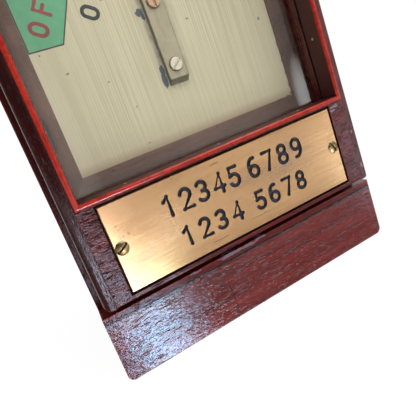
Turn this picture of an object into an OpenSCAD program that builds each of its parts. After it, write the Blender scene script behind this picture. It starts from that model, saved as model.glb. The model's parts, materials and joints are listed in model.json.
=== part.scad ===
// Signal arm repeater: a shelf instrument in a mahogany case.
// A miniature semaphore arm shows ON or OFF behind a glazed door.
// Front is -Y, right is +X, up is +Z.
// The origin is on the underside, under the middle of the whole part.

/* [Case] */
// Outer width of the case and of the base
case_w = 145; // [140:0.5:170]
// Depth of the case behind the door
case_d = 91.5; // [80:0.5:120]
// Height of the case above the base board
case_h = 261; // [250:0.5:300]
// Thickness of the sides, top and bottom
wall = 10; // [9:0.5:14]
// Thickness of the back board
back_t = 9; // [6:0.5:14]
// Thickness of the cap board on top
cap_t = 10; // [6:0.5:16]
// How far the cap board stands out past the case
cap_over = 4; // [2:0.5:8]
// Radius on the edges of the cap board
cap_round = 4; // [1:0.5:4.5]

/* [Base] */
// Height of the plinth block
plinth_h = 26.8; // [18:0.2:40]
// Thickness of the board on the plinth
deck_t = 3.2; // [2:0.2:8]
// How far the base reaches in front of the case
base_reach = 11.6; // [6:0.2:18]
// Radius on the lower corners of the plinth
plinth_round = 3; // [1:0.5:6]

/* [Door] */
// How far the door's edges stand in from the sides of the case
door_inset = 2.65; // [1.5:0.05:5]
// Thickness of the door
door_t = 16.2; // [14:0.1:22]
// Gap between the base and the door, and between the door and the cap
door_gap = 3.4; // [1:0.1:6]
// Clearance between the door and the case behind it
door_seat = 0.3; // [0.2:0.1:1]
// Face width of the stiles beside the glazing
stile_w = 4.7; // [4:0.1:9]
// Face height of the bottom rail
bottom_rail_h = 41.2; // [40:0.2:60]
// Face height of the top rail
top_rail_h = 21.8; // [16:0.2:40]
// Width of the lip behind the glass
lip_w = 2.2; // [1.5:0.1:5]
// Depth of the glazing rebate from the door's face
rebate_d = 10.7; // [8:0.1:12]
// Radius on the outer front edges of the door
door_round = 2.2; // [0.5:0.1:4]
// Radius on the corners of the door, seen from the front
corner_round = 3; // [1:0.5:6]

/* [Glazing] */
// Thickness of the glass
glass_t = 2.4; // [2:0.1:4]
// Width of the glazing bead
bead_w = 2.4; // [2:0.1:4]
// How far the bead stands out of the door's face
bead_proud = 1.6; // [0.5:0.1:4]
// Clearance round the glass
glass_play = 0.4; // [0.2:0.1:1]
// Radius of the bead pins
pin_r = 0.6; // [0.4:0.05:0.9]
// Greatest spacing of the bead pins
pin_pitch = 62; // [30:1:90]

/* [Name plate] */
// Width of the name plate
plate_w = 115; // [80:0.5:122]
// Height of the name plate
plate_h = 37.6; // [24:0.2:37.8]
// Thickness of the name plate
plate_t = 1.6; // [1:0.1:3]
// Height of the plate's lower edge above the door's lower edge
plate_up = 2.6; // [1.5:0.1:3]
// How far the name plate sits to the left of the door's middle
plate_off = 0.5; // [0:0.1:1.5]
// Distance of the plate screws from the plate's ends
plate_screw_in = 3.4; // [3.2:0.1:10]
// Radius of the plate screws' heads
plate_head_r = 2.8; // [2:0.1:3]

/* [Dial] */
// Distance of the dial's side edges from the sides of the case
dial_side = 6.4; // [5.5:0.1:12]
// Distance of the dial's upper edge below the top of the case
dial_down = 33.4; // [30:0.1:44]
// Height of the dial's lower edge above the base
dial_z = 83.6; // [80:0.1:90]
// Depth of the dial's face behind the door's face
dial_in = 23.2; // [22:0.1:32]
// Thickness of the dial plate
dial_t = 1.2; // [0.8:0.1:3]
// How far the dial plate runs behind its surround
dial_lap = 3; // [2:0.5:5]
// Thickness of the board behind the dial
board_t = 6; // [4:0.5:10]
// Flat land on the front of the surround
surround_land = 0.8; // [0.4:0.1:2]

/* [Signal] */
// Height of the arm's pivot above the base
pivot_z = 219; // [205:0.5:226]
// Width of the post
post_w = 9.2; // [7:0.1:14]
// Thickness of the post
post_t = 3; // [2:0.1:4]
// Height of the post's foot above the dial's lower edge
post_foot = 23.6; // [10:0.1:28]
// Height of the post above the pivot
post_head = 24; // [12:0.5:30]
// Slope on the foot of the post
post_slope = 2.4; // [0.5:0.1:4]
// Height of the lower post screw above the post's foot
post_screw_up = 8.2; // [5:0.1:10]
// Spacing of the post screws
post_screw_gap = 27.4; // [15:0.1:40]
// Length of the arm from its pivot to its tip
arm_l = 50; // [40:0.5:54]
// Width of the arm at its tip
arm_tip_w = 11.5; // [8:0.1:15]
// Width of the arm at its root
arm_root_w = 9; // [7:0.1:12]
// Thickness of the arm
arm_t = 0.9; // [0.6:0.1:1.2]
// Angle that the arm falls from ON to OFF
arm_fall = 57; // [40:1:60]
// Radius of the arm's spindle
spindle_r = 1.5; // [1.2:0.1:2]

/* [Movement] */
// Width of the movement's plates
frame_w = 84; // [78:1:100]
// Height of the movement's plates
frame_h = 112; // [108:1:120]
// Thickness of the movement's plates
frame_t = 2; // [1.5:0.1:3]
// Distance between the movement's plates
frame_gap = 30; // [28:0.5:34]
// Radius of the pillars
pillar_r = 3.5; // [2.5:0.1:5]
// Distance between the two coils
coil_pitch = 42; // [38:0.5:46]
// Outer radius of the coils' flanges
coil_r = 12; // [9:0.5:13]
// Length of the coils
coil_l = 43; // [30:0.5:46]
// Radius of the iron cores
core_r = 4.5; // [3:0.1:5]
// Radius swept by the armature
rotor_r = 15; // [12:0.1:16]
// Width of the armature
rotor_w = 8; // [5:0.1:10]
// Air gap between the armature and the pole shoes
air_gap = 0.6; // [0.4:0.05:1.2]
// Distance of the balance weight from the pivot
weight_l = 30; // [27:0.5:32]
// Radius of the balance weight
weight_r = 6; // [5:0.1:7]

/* [Hinges and lock] */
// Height of each hinge
hinge_h = 32; // [24:0.5:50]
// Distance of each hinge's middle from the door's ends
hinge_in = 46; // [30:0.5:70]
// Radius of the hinge knuckles
knuckle_r = 1.55; // [1.3:0.05:1.55]
// Radius of the hinge pins
hinge_pin_r = 0.75; // [0.5:0.05:0.9]
// Thickness of the hinge leaves
leaf_t = 1; // [0.8:0.1:1.4]
// Width of the hinge leaves
leaf_w = 6; // [5:0.1:8]
// Height of the lock above the base
lock_z = 165; // [120:1:200]
// Radius of the lock's barrel
lock_r = 5; // [4:0.1:5.5]
// Reach of the lock's cam
cam_l = 11.5; // [11:0.1:12.5]

/* [Terminals] */
// Distance between the two terminals
terminal_pitch = 28; // [20:0.5:50]
// Height of the terminals above the base
terminal_z = 62; // [50:0.5:110]
// Radius of the terminal studs
stud_r = 2; // [1.5:0.1:3]
// Radius of the thumb nuts
nut_r = 6; // [4.5:0.1:8]
// Height of the thumb nuts
nut_h = 6; // [4:0.5:10]

/* [Hidden] */
$fn = 48;

// Small clearances and cutting overlaps
fit = 0.05;
run_fit = 0.04;
cut = 1;

// Heights
deck_z = plinth_h + deck_t;
roof_z = deck_z + case_h;
dial_top_z = roof_z - dial_down;
dial_h = dial_top_z - dial_z;
door_z0 = deck_z + door_gap;
door_z1 = roof_z - door_gap;
glaze_z0 = door_z0 + bottom_rail_h;
glaze_z1 = door_z1 - top_rail_h;
light_z0 = glaze_z0 + lip_w;
light_z1 = glaze_z1 - lip_w;

// Terminal pieces, from the back board outwards
block_t = 8;
washer_t = 1;
stud_tail = 5;
terminal_reach = block_t + washer_t + nut_h + stud_tail;
nut_play = 0.15;
nut_boss = 1;
nut_end = block_t + washer_t + nut_play + nut_h + nut_boss;

// Depths, with the whole depth centred on the origin
depth_all = bead_proud + door_t + door_seat + case_d + terminal_reach;
face_y = bead_proud - depth_all / 2;
case_y = face_y + door_t + door_seat;
back_y = case_y + case_d;
base_y = case_y - base_reach;
base_d = back_y - base_y;
dial_y = face_y + dial_in;
board_y = dial_y + dial_t;
frame_y = board_y + board_t;
space_y = frame_y + frame_t;
rear_y = space_y + frame_gap;
coil_y = space_y + frame_gap / 2;
post_y = dial_y - post_t;

// Widths from the middle
door_w = case_w - 2 * door_inset;
door_x = door_w / 2;
glaze_x = door_x - stile_w;
light_x = glaze_x - lip_w;
inner_x = case_w / 2 - wall;
dial_w = 2 * (inner_x - dial_side);
glass_y = face_y + rebate_d - glass_t;

// Colours
mahogany = [0.34, 0.12, 0.09];
dark_wood = [0.42, 0.29, 0.25];
bead_red = [0.72, 0.16, 0.10];
brass = [0.80, 0.63, 0.38];
cream = [0.80, 0.77, 0.62];
iron = [0.35, 0.36, 0.38];
steel = [0.66, 0.67, 0.69];
copper = [0.55, 0.27, 0.14];
ebonite = [0.07, 0.07, 0.07];
signal_red = [0.75, 0.08, 0.07];
clear_glass = [0.75, 0.85, 0.85, 0.3];

// Turns a shape that stands on Z so that it runs back along +Y
module along_y() {
    rotate([-90, 0, 0]) children();
}

// Turns a shape that stands on Z so that it runs along +X
module along_x() {
    rotate([0, 90, 0]) children();
}

// Draws a shape drawn in X and Z as a slab of depth d behind y0
module slab(y0, d) {
    translate([0, y0 + d, 0]) rotate([90, 0, 0]) linear_extrude(d) children();
}

// A square-cornered box from its lowest corner to its highest one
module box(a, b) {
    translate(a) cube(b - a);
}

// What is left outside a quarter circle of radius r in the corner at the origin
module outside_corner(r) {
    difference() {
        translate([-cut, -cut]) square(r + cut);
        translate([r, r]) circle(r);
    }
}

// The cap of a ball, as wide as head_r and as high as dome, facing -Y
module dome_cap(head_r, dome) {
    ball_r = (head_r * head_r + dome * dome) / (2 * dome);
    intersection() {
        translate([0, ball_r - dome, 0]) sphere(ball_r);
        translate([0, -dome - cut, 0]) along_y() cylinder(h = dome + cut, r = head_r);
    }
}

// A wood screw with a countersunk and slotted head, driven along +Y. Its head is flat at dome = 0
module csk_screw(head_r, shank_r, len, dome, slot_turn) {
    sink = head_r - shank_r;
    slot_w = head_r * 0.3;
    slot_d = sink * 0.45;
    difference() {
        union() {
            along_y() cylinder(h = sink, r1 = head_r, r2 = shank_r);
            along_y() cylinder(h = len, r = shank_r);
            if (dome > 0) dome_cap(head_r, dome);
        }
        rotate([0, slot_turn, 0])
            translate([-head_r - cut, -dome - cut, -slot_w / 2])
                cube([2 * (head_r + cut), dome + cut + slot_d, slot_w]);
    }
}

// The hole that csk_screw() fills
module csk_hole(head_r, shank_r, len) {
    sink = head_r - shank_r;
    along_y() cylinder(h = sink, r1 = head_r + fit, r2 = shank_r + fit);
    along_y() cylinder(h = len + fit, r = shank_r + fit);
    translate([0, -cut, 0]) along_y() cylinder(h = cut + 0.01, r = head_r + fit);
}

// A machine screw with a slotted cheese head, driven along +Y
module cheese_screw(head_r, head_h, shank_r, len, slot_turn) {
    slot_w = head_r * 0.3;
    slot_d = head_h * 0.5;
    difference() {
        union() {
            translate([0, -head_h, 0]) along_y() cylinder(h = head_h, r = head_r);
            along_y() cylinder(h = len, r = shank_r);
        }
        rotate([0, slot_turn, 0])
            translate([-head_r - cut, -head_h - cut, -slot_w / 2])
                cube([2 * (head_r + cut), cut + slot_d, slot_w]);
    }
}

// Where the base is screwed up into the case sides
base_screw_r = 2;
base_head_r = 4;
base_sink = 9;
base_screw_l = plinth_h + deck_t + 14;
base_screw_y = [case_y + 14, back_y - 14];

module at_base_screws() {
    for (side = [-1, 1])
        for (y = base_screw_y)
            translate([side * (case_w / 2 - wall / 2), y, 0]) children();
}

module base_screw_holes() {
    at_base_screws() {
        translate([0, 0, -cut]) cylinder(h = base_screw_l + cut + fit, r = base_screw_r + fit);
        translate([0, 0, -cut]) cylinder(h = base_sink + cut, r = base_head_r + 0.4);
    }
}

module base_plinth() {
    w = case_w;
    r = plinth_round;
    color(mahogany)
        difference() {
            slab(base_y, base_d)
                difference() {
                    translate([-w / 2, 0]) square([w, plinth_h]);
                    for (side = [0, 1])
                        mirror([side, 0]) translate([-w / 2, 0]) outside_corner(r);
                }
            base_screw_holes();
        }
}

module base_board() {
    color(mahogany)
        difference() {
            box([-case_w / 2, base_y, plinth_h], [case_w / 2, back_y, deck_z]);
            base_screw_holes();
        }
}

module base_screws() {
    color(steel)
        at_base_screws()
            difference() {
                union() {
                    translate([0, 0, base_sink - 2.4]) cylinder(h = 2.4, r = base_head_r);
                    translate([0, 0, base_sink]) cylinder(h = base_screw_l - base_sink, r = base_screw_r);
                }
                translate([-base_head_r - cut, -0.6, base_sink - 2.4 - cut])
                    cube([2 * (base_head_r + cut), 1.2, 1.1 + cut]);
            }
}

// Where the back board is screwed to the case top and bottom
back_head_r = 3.2;
back_screw_r = 1.6;
back_screw_l = 22;

module at_back_screws() {
    for (side = [-1, 1])
        for (z = [deck_z + wall / 2, roof_z - wall / 2])
            translate([side * (inner_x - 12), back_y, z]) rotate([0, 0, 180]) children();
}

module back_screw_holes() {
    at_back_screws() csk_hole(back_head_r, back_screw_r, back_screw_l);
}

// One side board, drawn on the right
module case_side() {
    box([inner_x, case_y, deck_z], [case_w / 2, back_y, roof_z]);
}

module case_side_right() {
    color(mahogany)
        difference() {
            case_side();
            base_screw_holes();
            at_hinges() {
                translate([0, 0, -hinge_h / 2 - fit])
                    box([door_x - leaf_w - fit, case_y - cut, 0],
                        [hinge_x, case_y + leaf_t + fit, hinge_h + 2 * fit]);
                translate([hinge_x, hinge_y, -hinge_h / 2 - 0.3])
                    cylinder(h = hinge_h + 0.6, r = knuckle_r + 0.3);
            }
            at_hinge_screws() case_leaf_screw_place() leaf_screw_hole();
        }
}

module case_side_left() {
    color(mahogany)
        difference() {
            mirror([1, 0, 0]) case_side();
            base_screw_holes();
            translate([-case_w / 2 - cut, lock_y, lock_z])
                along_x() cylinder(h = wall + 2 * cut, r = lock_r + fit);
            lock_pocket();
        }
}

module case_bottom() {
    color(mahogany)
        difference() {
            box([-inner_x, case_y, deck_z], [inner_x, back_y - back_t, deck_z + wall]);
            back_screw_holes();
        }
}

module case_top() {
    color(mahogany)
        difference() {
            box([-inner_x, case_y, roof_z - wall], [inner_x, back_y - back_t, roof_z]);
            back_screw_holes();
        }
}

module case_back() {
    color(mahogany)
        difference() {
            box([-inner_x, back_y - back_t, deck_z], [inner_x, back_y, roof_z]);
            back_screw_holes();
            at_terminals() translate([0, -back_t - cut, 0])
                along_y() cylinder(h = back_t + 2 * cut, r = stud_r + fit);
        }
}

module back_screws() {
    color(brass)
        at_back_screws() csk_screw(back_head_r, back_screw_r, back_screw_l, 0.5, 35);
}

// The cap board has rounded upper edges at the front and the sides
module cap_board() {
    w = case_w + 2 * cap_over;
    y0 = base_y - cap_over;
    d = back_y - y0;
    color(mahogany)
        translate([0, 0, roof_z])
            intersection() {
                translate([0, back_y, 0]) rotate([90, 0, 0]) linear_extrude(d)
                    difference() {
                        translate([-w / 2, 0]) square([w, cap_t]);
                        for (side = [0, 1])
                            mirror([side, 0]) translate([-w / 2, cap_t]) mirror([0, 1])
                                outside_corner(cap_round);
                    }
                translate([-w / 2, 0, 0]) rotate([90, 0, 90]) linear_extrude(w)
                    difference() {
                        translate([y0, 0]) square([d, cap_t]);
                        translate([y0, cap_t]) mirror([0, 1]) outside_corner(cap_round);
                    }
            }
}

// The door is one flat frame, cut into stiles and rails
module door_outline() {
    w = door_w;
    difference() {
        translate([-w / 2, door_z0]) square([w, door_z1 - door_z0]);
        for (side = [0, 1]) {
            mirror([side, 0]) translate([-w / 2, door_z0]) outside_corner(corner_round);
            mirror([side, 0]) translate([-w / 2, door_z1]) mirror([0, 1])
                outside_corner(corner_round);
        }
    }
}

// The L-shaped section of a stile, drawn on the right, in X and Y
module stile_section() {
    difference() {
        union() {
            translate([glaze_x, face_y]) square([stile_w, door_t]);
            translate([light_x, face_y + rebate_d]) square([lip_w + stile_w, door_t - rebate_d]);
        }
        translate([door_x, face_y]) mirror([1, 0]) outside_corner(door_round);
    }
}

module door_stile() {
    intersection() {
        translate([0, 0, door_z0]) linear_extrude(door_z1 - door_z0) stile_section();
        slab(face_y - cut, door_t + 2 * cut) door_outline();
    }
}

module door_stile_right() {
    color(mahogany)
        difference() {
            door_stile();
            at_hinges() translate([0, 0, -hinge_h / 2 - fit])
                box([door_x - leaf_w - fit, case_y - door_seat - leaf_t - fit, 0],
                    [door_x + cut, case_y, hinge_h + 2 * fit]);
            at_hinge_screws() door_leaf_screw_place() leaf_screw_hole();
            side_pin_holes();
        }
}

module door_stile_left() {
    color(mahogany)
        difference() {
            mirror([1, 0, 0]) door_stile();
            keeper_slot();
            mirror([1, 0, 0]) side_pin_holes();
        }
}

// A rail's front part fits between the stiles and its back part between their lips
module rail(z0, z1, lip_z0, lip_z1) {
    box([-glaze_x, face_y, z0], [glaze_x, face_y + rebate_d, z1]);
    box([-light_x, face_y + rebate_d, lip_z0], [light_x, face_y + door_t, lip_z1]);
}

module door_bottom_rail() {
    r = door_round / 2;
    color(mahogany)
        difference() {
            rail(door_z0, glaze_z0, door_z0, light_z0);
            box([plate_x - plate_w / 2 - recess_play, face_y - cut, plate_z - recess_play],
                [plate_x + plate_w / 2 + recess_play, face_y + recess_d,
                 plate_z + plate_h + recess_play]);
            translate([-glaze_x - cut, 0, 0]) rotate([90, 0, 90])
                linear_extrude(2 * (glaze_x + cut))
                    translate([face_y, door_z0]) outside_corner(r);
            at_plate_screws() csk_hole(plate_head_r, plate_shank_r, plate_screw_l);
            end_pin_holes(glaze_z0, -1);
        }
}

module door_top_rail() {
    r = door_round / 2;
    color(mahogany)
        difference() {
            rail(glaze_z1, door_z1, light_z1, door_z1);
            translate([-glaze_x - cut, 0, 0]) rotate([90, 0, 90])
                linear_extrude(2 * (glaze_x + cut))
                    translate([face_y, door_z1]) mirror([0, 1]) outside_corner(r);
            end_pin_holes(glaze_z1, 1);
        }
}

// The bead's section across its width and along its depth, nose at the front
bead_d = rebate_d - glass_t + bead_proud;

module bead_section() {
    r = bead_w / 2;
    translate([0, r]) square([bead_w, bead_d - r]);
    translate([r, r]) circle(r);
}

// A bead of length len with mitred ends, lying along X, its outer side at z = 0
module bead(len) {
    difference() {
        translate([-len / 2, 0, 0]) rotate([90, 0, 90]) linear_extrude(len)
            translate([face_y - bead_proud, 0]) rotate(90) mirror([0, 1]) bead_section();
        for (side = [0, 1])
            mirror([side, 0, 0]) translate([-len / 2, 0, 0]) rotate([0, 45, 0])
                translate([-20, face_y - bead_proud - cut, -10]) cube([20, bead_d + 2 * cut, 30]);
    }
}

module bead_bottom() {
    color(bead_red)
        difference() {
            translate([0, 0, glaze_z0]) bead(2 * glaze_x);
            end_pin_holes(glaze_z0, -1);
        }
}

module bead_top() {
    color(bead_red)
        difference() {
            translate([0, 0, glaze_z1]) mirror([0, 0, 1]) bead(2 * glaze_x);
            end_pin_holes(glaze_z1, 1);
        }
}

module side_bead() {
    z = (glaze_z0 + glaze_z1) / 2;
    difference() {
        translate([glaze_x, 0, z]) rotate([0, -90, 0]) bead(glaze_z1 - glaze_z0);
        side_pin_holes();
    }
}

module bead_right() {
    color(bead_red) side_bead();
}

module bead_left() {
    color(bead_red) mirror([1, 0, 0]) side_bead();
}

// The bead pins lie halfway back, evenly spaced, and their ends show on the bead's inner face
pin_l = bead_w + 2;
pin_show = 0.2;
pin_y = face_y + (rebate_d - glass_t) / 2;
side_pins = ceil((glaze_z1 - glaze_z0) / pin_pitch);
end_pins = ceil(2 * glaze_x / pin_pitch);

module at_side_pins() {
    run = glaze_z1 - glaze_z0;
    for (i = [0 : side_pins - 1])
        translate([glaze_x - bead_w, pin_y, glaze_z0 + run * (i + 0.64) / side_pins]) children();
}

module at_end_pins(z, up) {
    run = 2 * glaze_x;
    for (i = [0 : end_pins - 1])
        translate([-glaze_x + run * (i + 0.5) / end_pins, pin_y, z - up * bead_w])
            rotate([0, up > 0 ? 0 : 180, 0]) children();
}

module side_pin_holes() {
    at_side_pins() translate([-cut, 0, 0])
        along_x() cylinder(h = pin_l + cut + fit, r = pin_r + fit);
}

module end_pin_holes(z, up) {
    at_end_pins(z, up) translate([0, 0, -cut])
        cylinder(h = pin_l + cut + fit, r = pin_r + fit);
}

module bead_pins() {
    color(brass) {
        for (side = [0, 1])
            mirror([side, 0, 0]) at_side_pins() translate([-pin_show, 0, 0])
                along_x() cylinder(h = pin_l + pin_show, r = pin_r);
        at_end_pins(glaze_z0, -1) translate([0, 0, -pin_show])
            cylinder(h = pin_l + pin_show, r = pin_r);
        at_end_pins(glaze_z1, 1) translate([0, 0, -pin_show])
            cylinder(h = pin_l + pin_show, r = pin_r);
    }
}

module glass_pane() {
    x = glaze_x - glass_play;
    color(clear_glass)
        box([-x, glass_y, glaze_z0 + glass_play], [x, glass_y + glass_t, glaze_z1 - glass_play]);
}

// The name plate lies in a recess in the bottom rail
recess_play = 0.5;
recess_d = plate_t;
plate_z = door_z0 + plate_up;
plate_mid_z = plate_z + plate_h / 2;
plate_x = -plate_off;
plate_shank_r = 1.3;
plate_screw_l = 8;
plate_bevel = 0.7;

module at_plate_screws() {
    for (side = [-1, 1])
        translate([plate_x + side * (plate_w / 2 - plate_screw_in), face_y, plate_mid_z]) children();
}

// An outline with its front corners bevelled, as wide as w, in one direction and depth
module bevelled_edge(w) {
    b = plate_bevel;
    polygon([[-w / 2 + b, 0], [w / 2 - b, 0], [w / 2, b], [w / 2, plate_t],
             [-w / 2, plate_t], [-w / 2, b]]);
}

module name_plate() {
    color(brass)
        difference() {
            intersection() {
                translate([plate_x, face_y, plate_z]) linear_extrude(plate_h)
                    bevelled_edge(plate_w);
                translate([plate_x - plate_w / 2, face_y, plate_mid_z]) rotate([90, 0, 90])
                    linear_extrude(plate_w) rotate(90) mirror([0, 1]) bevelled_edge(plate_h);
            }
            at_plate_screws() csk_hole(plate_head_r, plate_shank_r, plate_screw_l);
        }
}

module name_plate_screws() {
    turns = [-30, 62];
    color(brass)
        for (i = [0, 1])
            translate([plate_x + (2 * i - 1) * (plate_w / 2 - plate_screw_in), face_y, plate_mid_z])
                csk_screw(plate_head_r, plate_shank_r, plate_screw_l, 0.8, turns[i]);
}

// Hinges: the knuckles stand in the corner between the door's edge and the case's front
hinge_x = door_x + knuckle_r;
hinge_y = case_y - door_seat / 2;
knuckle_gap = 0.2;
knuckle_h = (hinge_h - 2 * knuckle_gap) / 3;
leaf_screw_in = 3;
leaf_head_r = 1.9;
leaf_shank_r = 1;
leaf_screw_l = 5;

module at_hinges() {
    for (z = [door_z0 + hinge_in, door_z1 - hinge_in])
        translate([0, 0, z]) children();
}

module at_hinge_screws() {
    at_hinges()
        for (i = [-1, 0, 1])
            translate([door_x - leaf_screw_in, 0, i * hinge_h * 0.34]) children();
}

module case_leaf_screw_place() {
    translate([0, case_y, 0]) children();
}

module door_leaf_screw_place() {
    translate([0, case_y - door_seat, 0]) rotate([0, 0, 180]) children();
}

module leaf_screw_hole() {
    csk_hole(leaf_head_r, leaf_shank_r, leaf_screw_l);
}

// One knuckle with its bore, from height z0 in the hinge
module knuckle(z0) {
    translate([hinge_x, hinge_y, z0]) cylinder(h = knuckle_h, r = knuckle_r);
}

// The web that joins a leaf at depths y0 to y1 to one of its knuckles
module knuckle_web(y0, y1, z0) {
    box([door_x - knuckle_r, y0, z0], [hinge_x, y1, z0 + knuckle_h]);
}

module hinge_case_leaves() {
    z0 = -hinge_h / 2;
    mid_z = z0 + knuckle_h + knuckle_gap;
    color(brass)
        difference() {
            at_hinges() {
                box([door_x - leaf_w, case_y, z0], [door_x - 0.35, case_y + leaf_t, -z0]);
                knuckle_web(case_y, case_y + leaf_t, mid_z);
                knuckle(mid_z);
            }
            at_hinges() translate([hinge_x, hinge_y, z0 - cut])
                cylinder(h = hinge_h + 2 * cut, r = hinge_pin_r + 0.02);
            at_hinge_screws() case_leaf_screw_place() leaf_screw_hole();
        }
}

module hinge_door_leaves() {
    z0 = -hinge_h / 2;
    top_z = hinge_h / 2 - knuckle_h;
    y1 = case_y - door_seat;
    color(brass)
        difference() {
            at_hinges() {
                box([door_x - leaf_w, y1 - leaf_t, z0], [door_x - 0.35, y1, -z0]);
                for (z = [z0, top_z]) {
                    knuckle_web(y1 - leaf_t, y1, z);
                    knuckle(z);
                }
            }
            at_hinges() translate([hinge_x, hinge_y, z0 - cut])
                cylinder(h = hinge_h + 2 * cut, r = hinge_pin_r + run_fit);
            at_hinge_screws() door_leaf_screw_place() leaf_screw_hole();
        }
}

module hinge_pins() {
    color(brass)
        at_hinges() translate([hinge_x, hinge_y, -hinge_h / 2])
            cylinder(h = hinge_h, r = hinge_pin_r);
}

module hinge_case_screws() {
    color(brass)
        at_hinge_screws() case_leaf_screw_place()
            csk_screw(leaf_head_r, leaf_shank_r, leaf_screw_l, 0, 20);
}

module hinge_door_screws() {
    color(brass)
        at_hinge_screws() door_leaf_screw_place()
            csk_screw(leaf_head_r, leaf_shank_r, leaf_screw_l, 0, -50);
}

// The lock: a barrel in the left side, a plug turned by the key, and a cam in a pocket
plug_r = 3.2;
lock_y = case_y + lock_r + 2.5;
pocket_d = 4.2;
cam_w = 6;
cam_t = 1.5;
cam_in = 1.9;
lock_x = -case_w / 2;
cam_x = -inner_x - cam_in;

module lock_pocket() {
    r = cam_l + 1;
    translate([-inner_x - pocket_d, lock_y, lock_z]) along_x() cylinder(h = pocket_d + cut, r = r);
    box([-inner_x - pocket_d, case_y - cut, lock_z - cam_w],
        [-inner_x + cut, lock_y, lock_z + r]);
}

// The slot in the back of the door that the cam swings into
module keeper_slot() {
    box([cam_x - cam_t - 0.5, case_y - door_seat - keeper_d, lock_z - cam_w / 2 - 0.6],
        [cam_x + 0.5, case_y + cut, lock_z + cam_l]);
}

keeper_d = cam_l - (lock_y - case_y) - door_seat + 0.7;

module lock_barrel() {
    color(brass)
        translate([lock_x, lock_y, lock_z])
            along_x()
                difference() {
                    cylinder(h = wall - pocket_d, r = lock_r);
                    translate([0, 0, -cut])
                        cylinder(h = wall - pocket_d + 2 * cut, r = plug_r + run_fit);
                }
}

module lock_plug() {
    l = cam_x - lock_x;
    color(brass)
        translate([lock_x + 0.3, lock_y, lock_z])
            difference() {
                union() {
                    along_x() cylinder(h = l - 0.3 - cam_t, r = plug_r);
                    along_x() cylinder(h = l - 0.3, r = plug_r / 2);
                }
                translate([-cut, -0.6, -2]) cube([cut + 4, 1.2, 4]);
            }
}

module lock_cam() {
    color(steel)
        translate([cam_x - cam_t, lock_y, lock_z])
            difference() {
                union() {
                    along_x() cylinder(h = cam_t, r = cam_w / 2);
                    translate([0, -cam_w / 2, 0]) cube([cam_t, cam_w, cam_l]);
                }
                translate([-cut, 0, 0]) along_x()
                    cylinder(h = cam_t + 2 * cut, r = plug_r / 2 + 0.02);
            }
}

// The surround fills the case's opening and slopes down to the dial's edges
surround_y = case_y + door_seat;
surround_edge = 0.6;

// One direction of the sloping opening, as wide as w at the dial and w + 2 * reach in front
module splay(w, reach) {
    d = dial_y - surround_y;
    polygon([[-w / 2, d + cut], [-w / 2, d - surround_edge], [-w / 2 - reach, 0],
             [-w / 2 - reach, -cut], [w / 2 + reach, -cut], [w / 2 + reach, 0],
             [w / 2, d - surround_edge], [w / 2, d + cut]]);
}

module dial_surround() {
    z0 = deck_z + wall;
    z1 = roof_z - wall;
    reach_x = inner_x - surround_land - dial_w / 2;
    reach_z = dial_z - light_z0;
    mid_z = dial_z + dial_h / 2;
    color(dark_wood)
        difference() {
            box([-inner_x, surround_y, z0], [inner_x, dial_y, z1]);
            intersection() {
                translate([0, surround_y, z0 - cut]) linear_extrude(z1 - z0 + 2 * cut)
                    splay(dial_w, reach_x);
                translate([-inner_x - cut, surround_y, mid_z]) rotate([90, 0, 90])
                    linear_extrude(2 * (inner_x + cut)) rotate(90) mirror([0, 1])
                        splay(dial_h, reach_z);
            }
        }
}

// Where the post is screwed through the dial into its board
post_z0 = dial_z + post_foot;
post_z1 = pivot_z + post_head;
post_screw_r = 1.4;
post_head_r = 2.8;
post_screw_h = 1.5;
post_screw_l = post_t + dial_t + board_t - 1;
post_screw_z = [post_z0 + post_screw_up, post_z0 + post_screw_up + post_screw_gap];

module at_post_screws() {
    for (z = post_screw_z)
        translate([0, post_y, z]) children();
}

module post_screw_holes() {
    at_post_screws() translate([0, -cut, 0])
        along_y() cylinder(h = post_screw_l + cut + fit, r = post_screw_r + fit);
}

// Holes through the dial, its board and the post for the spindle
module spindle_hole(r) {
    translate([0, post_y - cut, pivot_z]) along_y() cylinder(h = 2 * cut + board_y + board_t - post_y, r = r);
}

module dial_plate() {
    x = dial_w / 2 + dial_lap;
    color(cream)
        difference() {
            box([-x, dial_y, dial_z - dial_lap], [x, board_y, dial_top_z + dial_lap]);
            post_screw_holes();
            spindle_hole(spindle_r + 1.5);
        }
}

module dial_board() {
    color(dark_wood)
        difference() {
            box([-inner_x, board_y, deck_z + wall], [inner_x, frame_y, roof_z - wall]);
            post_screw_holes();
            spindle_hole(bush_r + 1.5);
            at_fixing_screws() translate([0, -board_t - cut, 0]) along_y()
                cylinder(h = board_t + 2 * cut, r = fixing_r + fit);
        }
}

module signal_post() {
    point = post_w / 2;
    color(brass)
        difference() {
            slab(post_y, post_t)
                polygon([[-post_w / 2, post_z0], [post_w / 2, post_z0],
                         [post_w / 2, post_z1 - point], [0, post_z1],
                         [-post_w / 2, post_z1 - point]]);
            translate([-post_w / 2 - cut, 0, 0]) rotate([90, 0, 90]) linear_extrude(post_w + 2 * cut)
                polygon([[post_y - cut, post_z0 - cut], [dial_y, post_z0 - cut], [dial_y, post_z0],
                         [post_y, post_z0 + post_slope], [post_y - cut, post_z0 + post_slope]]);
            post_screw_holes();
            spindle_hole(spindle_r + 0.8);
        }
}

module post_screws() {
    turns = [-38, 88];
    color(brass)
        for (i = [0, 1])
            translate([0, post_y, post_screw_z[i]])
                cheese_screw(post_head_r, post_screw_h, post_screw_r, post_screw_l, turns[i]);
}

// The arm and what turns with it
arm_play = 0.45;
boss_r = 4.4;
boss_h = 2.2;
arm_y = post_y - arm_play - boss_h - arm_t;
arm_tail = 8;
arm_head_h = 1.4;

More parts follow.
